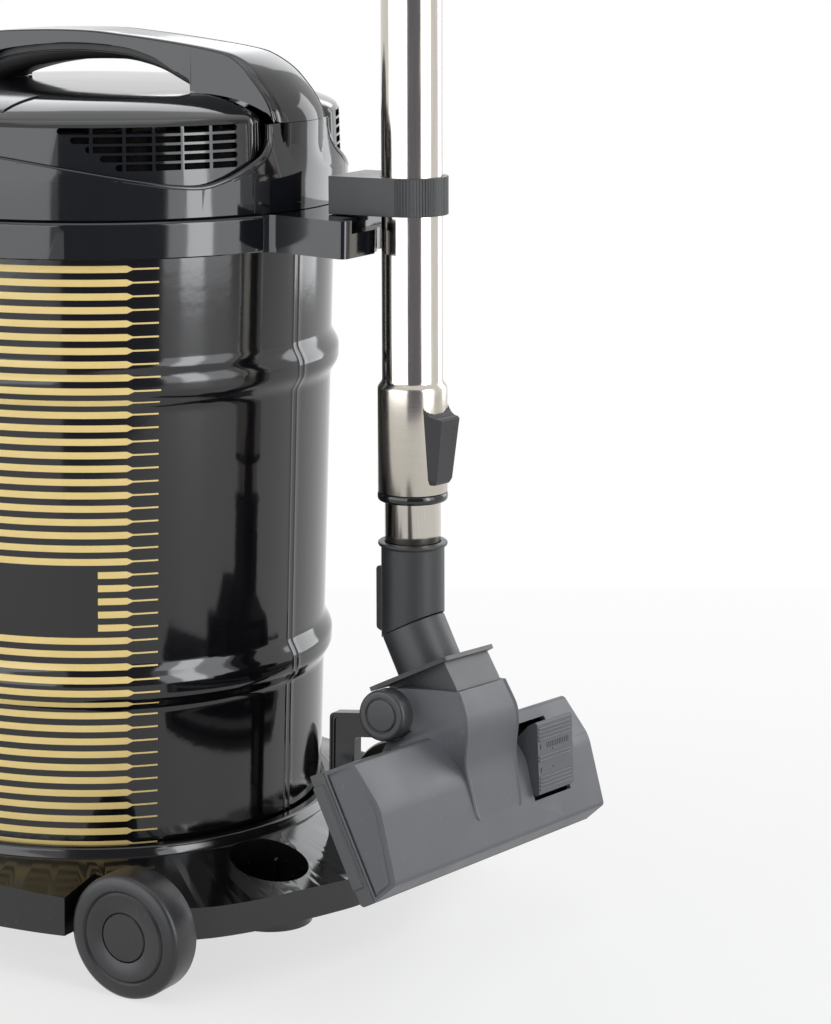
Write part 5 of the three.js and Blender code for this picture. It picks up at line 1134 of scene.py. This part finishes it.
# ---- Brush pedal: graphite rocker in its pocket, with moulded grip ribs across
# its tread; pressed at either end to drop or lift the brushes.
pedal_half, tread_high, tread_low, tread_back, tread_front = 23.2, 19.6, 2.8, -19, 20
tread = lambda y: tread_high + (y - tread_back) * (tread_low - tread_high) / (tread_front - tread_back)
pedal = side_prism(rounded([(20, 0.4, 0.5), (tread_front, tread_low, 1.0), (tread_back, tread_high, 1.0),
    (-20.6, 18.6, 0.6), (-20.6, 14, 1), (-16, 2, 2), (0, -6, 1), (4, -6, 1), (17, -1.2, 1)], 4), -pedal_half,
    pedal_half)
carve(pedal, side_prism([(14, 0.6), (-17, 14.6), (-15, 3), (0, -4), (3, -8), (10, -8)], -pedal_half + 2.2,
    pedal_half - 2.2))
slope = Matrix.Rotation(math.atan2(tread_low - tread_high, tread_front - tread_back), 4, "X")
raised = [turned(rod(0.75, -pedal_half + 3.2, pedal_half - 1.2, 10), moved(0, y, tread(y) - 0.12))
    for y in (-16.2, -14.1, -12.0, -9.9, -0.6, 1.5, 11.0, 13.1, 15.2, 17.3)]
sunk = []
for i in range(13):
    x = -pedal_half + 6.2 + i * 2.35
    tick = turned(block(-0.45, 0.45, -1.7, 1.7, -0.4, 0.5), slope, moved(x, -6.2, tread(-6.2)))
    sunk.append(tick)
for x, y in ((4, -3.4), (4, 6.6)):
    sunk.append(turned(disc(0.6, -0.5, 0.6, 12), slope, moved(x, y, tread(y))))
for y in (-6.2, 6.6):
    sunk.append(turned(block(-0.5, 0.5, -1.5, 1.5, -0.5, 0.6), slope, moved(pedal_half - 3.4, y, tread(y))))
carve(merge(pedal, *raised), gather(sunk))
merge(pedal, rod(2.4, -pedal_half - 0.6, pedal_half + 0.6, 32))
fit_piece(pedal, "brush_rocker", "brush_pedal", head_grey, ["brush_pedal"],
    tilt @ moved(pedal_x, 54.5, 17.5), edge=0.3)

# ---- Tilt hinge rollers: dark grey wheels on steel pins at both ends of the yoke
# drum, each with a cap pressed in flush inside a ring groove.
for side, mirror in named_sides:
    roller = spin([(3.15, 45.3), (13.4, 45.3), (14.6, 45.7), (15.1, 46.7), (15.1, 55.8), (14.9, 56.7),
        (14.3, 57.5), (13.4, 57.9), (12.4, 58), (10.5, 57.95), (10.25, 57.4), (9.9, 57.2), (9.55, 57.4),
        (9.3, 57.9), (8.4, 58), (0, 58), (0, 53.4), (3.15, 53.4)], 96)
    fit_piece(turned(roller, lay_along_x, mirror), f"hinge_roller_{side}", f"head_wheel_{side}",
        neck_grey, [f"head_wheel_{side}"], tilt, edge=0, sharp=60)
    fit_piece(turned(rod(3, 20, 53, 48), mirror), f"hinge_pin_{side}", "nozzle", turned_steel,
        [f"pivot_pin_{side}"], tilt, edge=0.3)

# ---- Hose inlet and gasket: gloss black ABS socket riveted to the front of the
# tank over a black rubber washer.
rubber = satin_plastic("black_rubber", "#131313", "#1b1b1b", 0.55, 0.7, grain_mm=0.8)
dress(head_gloss, "hose_inlet")
dress(rubber, "inlet_gasket", "head_seal", "cord_gland")

# ---- Filter: cloth bag sewn over a white wire-basket cage, hung by its ring from
# the tank's rim; dark foam pads sit behind the grilles.
cage_white = satin_plastic("natural_polypropylene", "#cfcfca", "#dededa", 0.4, 0.55, grain_mm=0.6,
    scuff="#c2c2bc")
dress(cage_white, "filter_ring", "filter_cage")
bag_cloth, add = blank_material("needled_filter_cloth")
where = add("TexCoord").outputs["Object"]
felt = add("TexNoise", {"Vector": where, "Scale": 900, "Detail": 4})
soil = add("TexNoise", {"Vector": where, "Scale": 12, "Detail": 3})
tone = add("Mix", {0: soil, 6: linear("#b9b8b2"), 7: linear("#cfcec8")}, data_type="RGBA")
relief = add("Bump", {"Height": felt, "Strength": 0.5, "Distance": 0.0004})
skin = add("BsdfPrincipled", {"Base Color": tone, "Roughness": 0.9, "Normal": relief, "Sheen Weight": 0.25})
add("OutputMaterial", {"Surface": skin})
dress(bag_cloth, "filter_bag")
foam, add = blank_material("dark_filter_foam")
cells = add("TexVoronoi", {"Vector": add("TexCoord").outputs["Object"], "Scale": 900})
# the Voronoi pits are sunk by the bump and also painted darker: painted shade in the foam's pores
tone = add("Mix", {0: cells, 6: linear("#050505"), 7: linear("#101011")}, data_type="RGBA")
relief = add("Bump", {"Height": cells, "Strength": 0.8, "Distance": 0.0008})
skin = add("BsdfPrincipled", {"Base Color": tone, "Roughness": 0.95, "Normal": relief,
    "Specular IOR Level": 0.1})
add("OutputMaterial", {"Surface": skin})
dress(foam, "exhaust_filter_left", "exhaust_filter_right")

# ---- Motor: suction unit with a pressed steel casing and fan housing over an
# aluminium impeller, held in a rubber-faced plastic ring.
cast_grey = worked_steel("pressed_steel_casing", "#8a8a88", "#a9a9a6", 0.3, 0.42, (300, 300, 300), 0.004)
dress(cast_grey, "motor_casing", "fan_housing", "impeller")
dress(wheel_plastic, "motor_mount_ring")
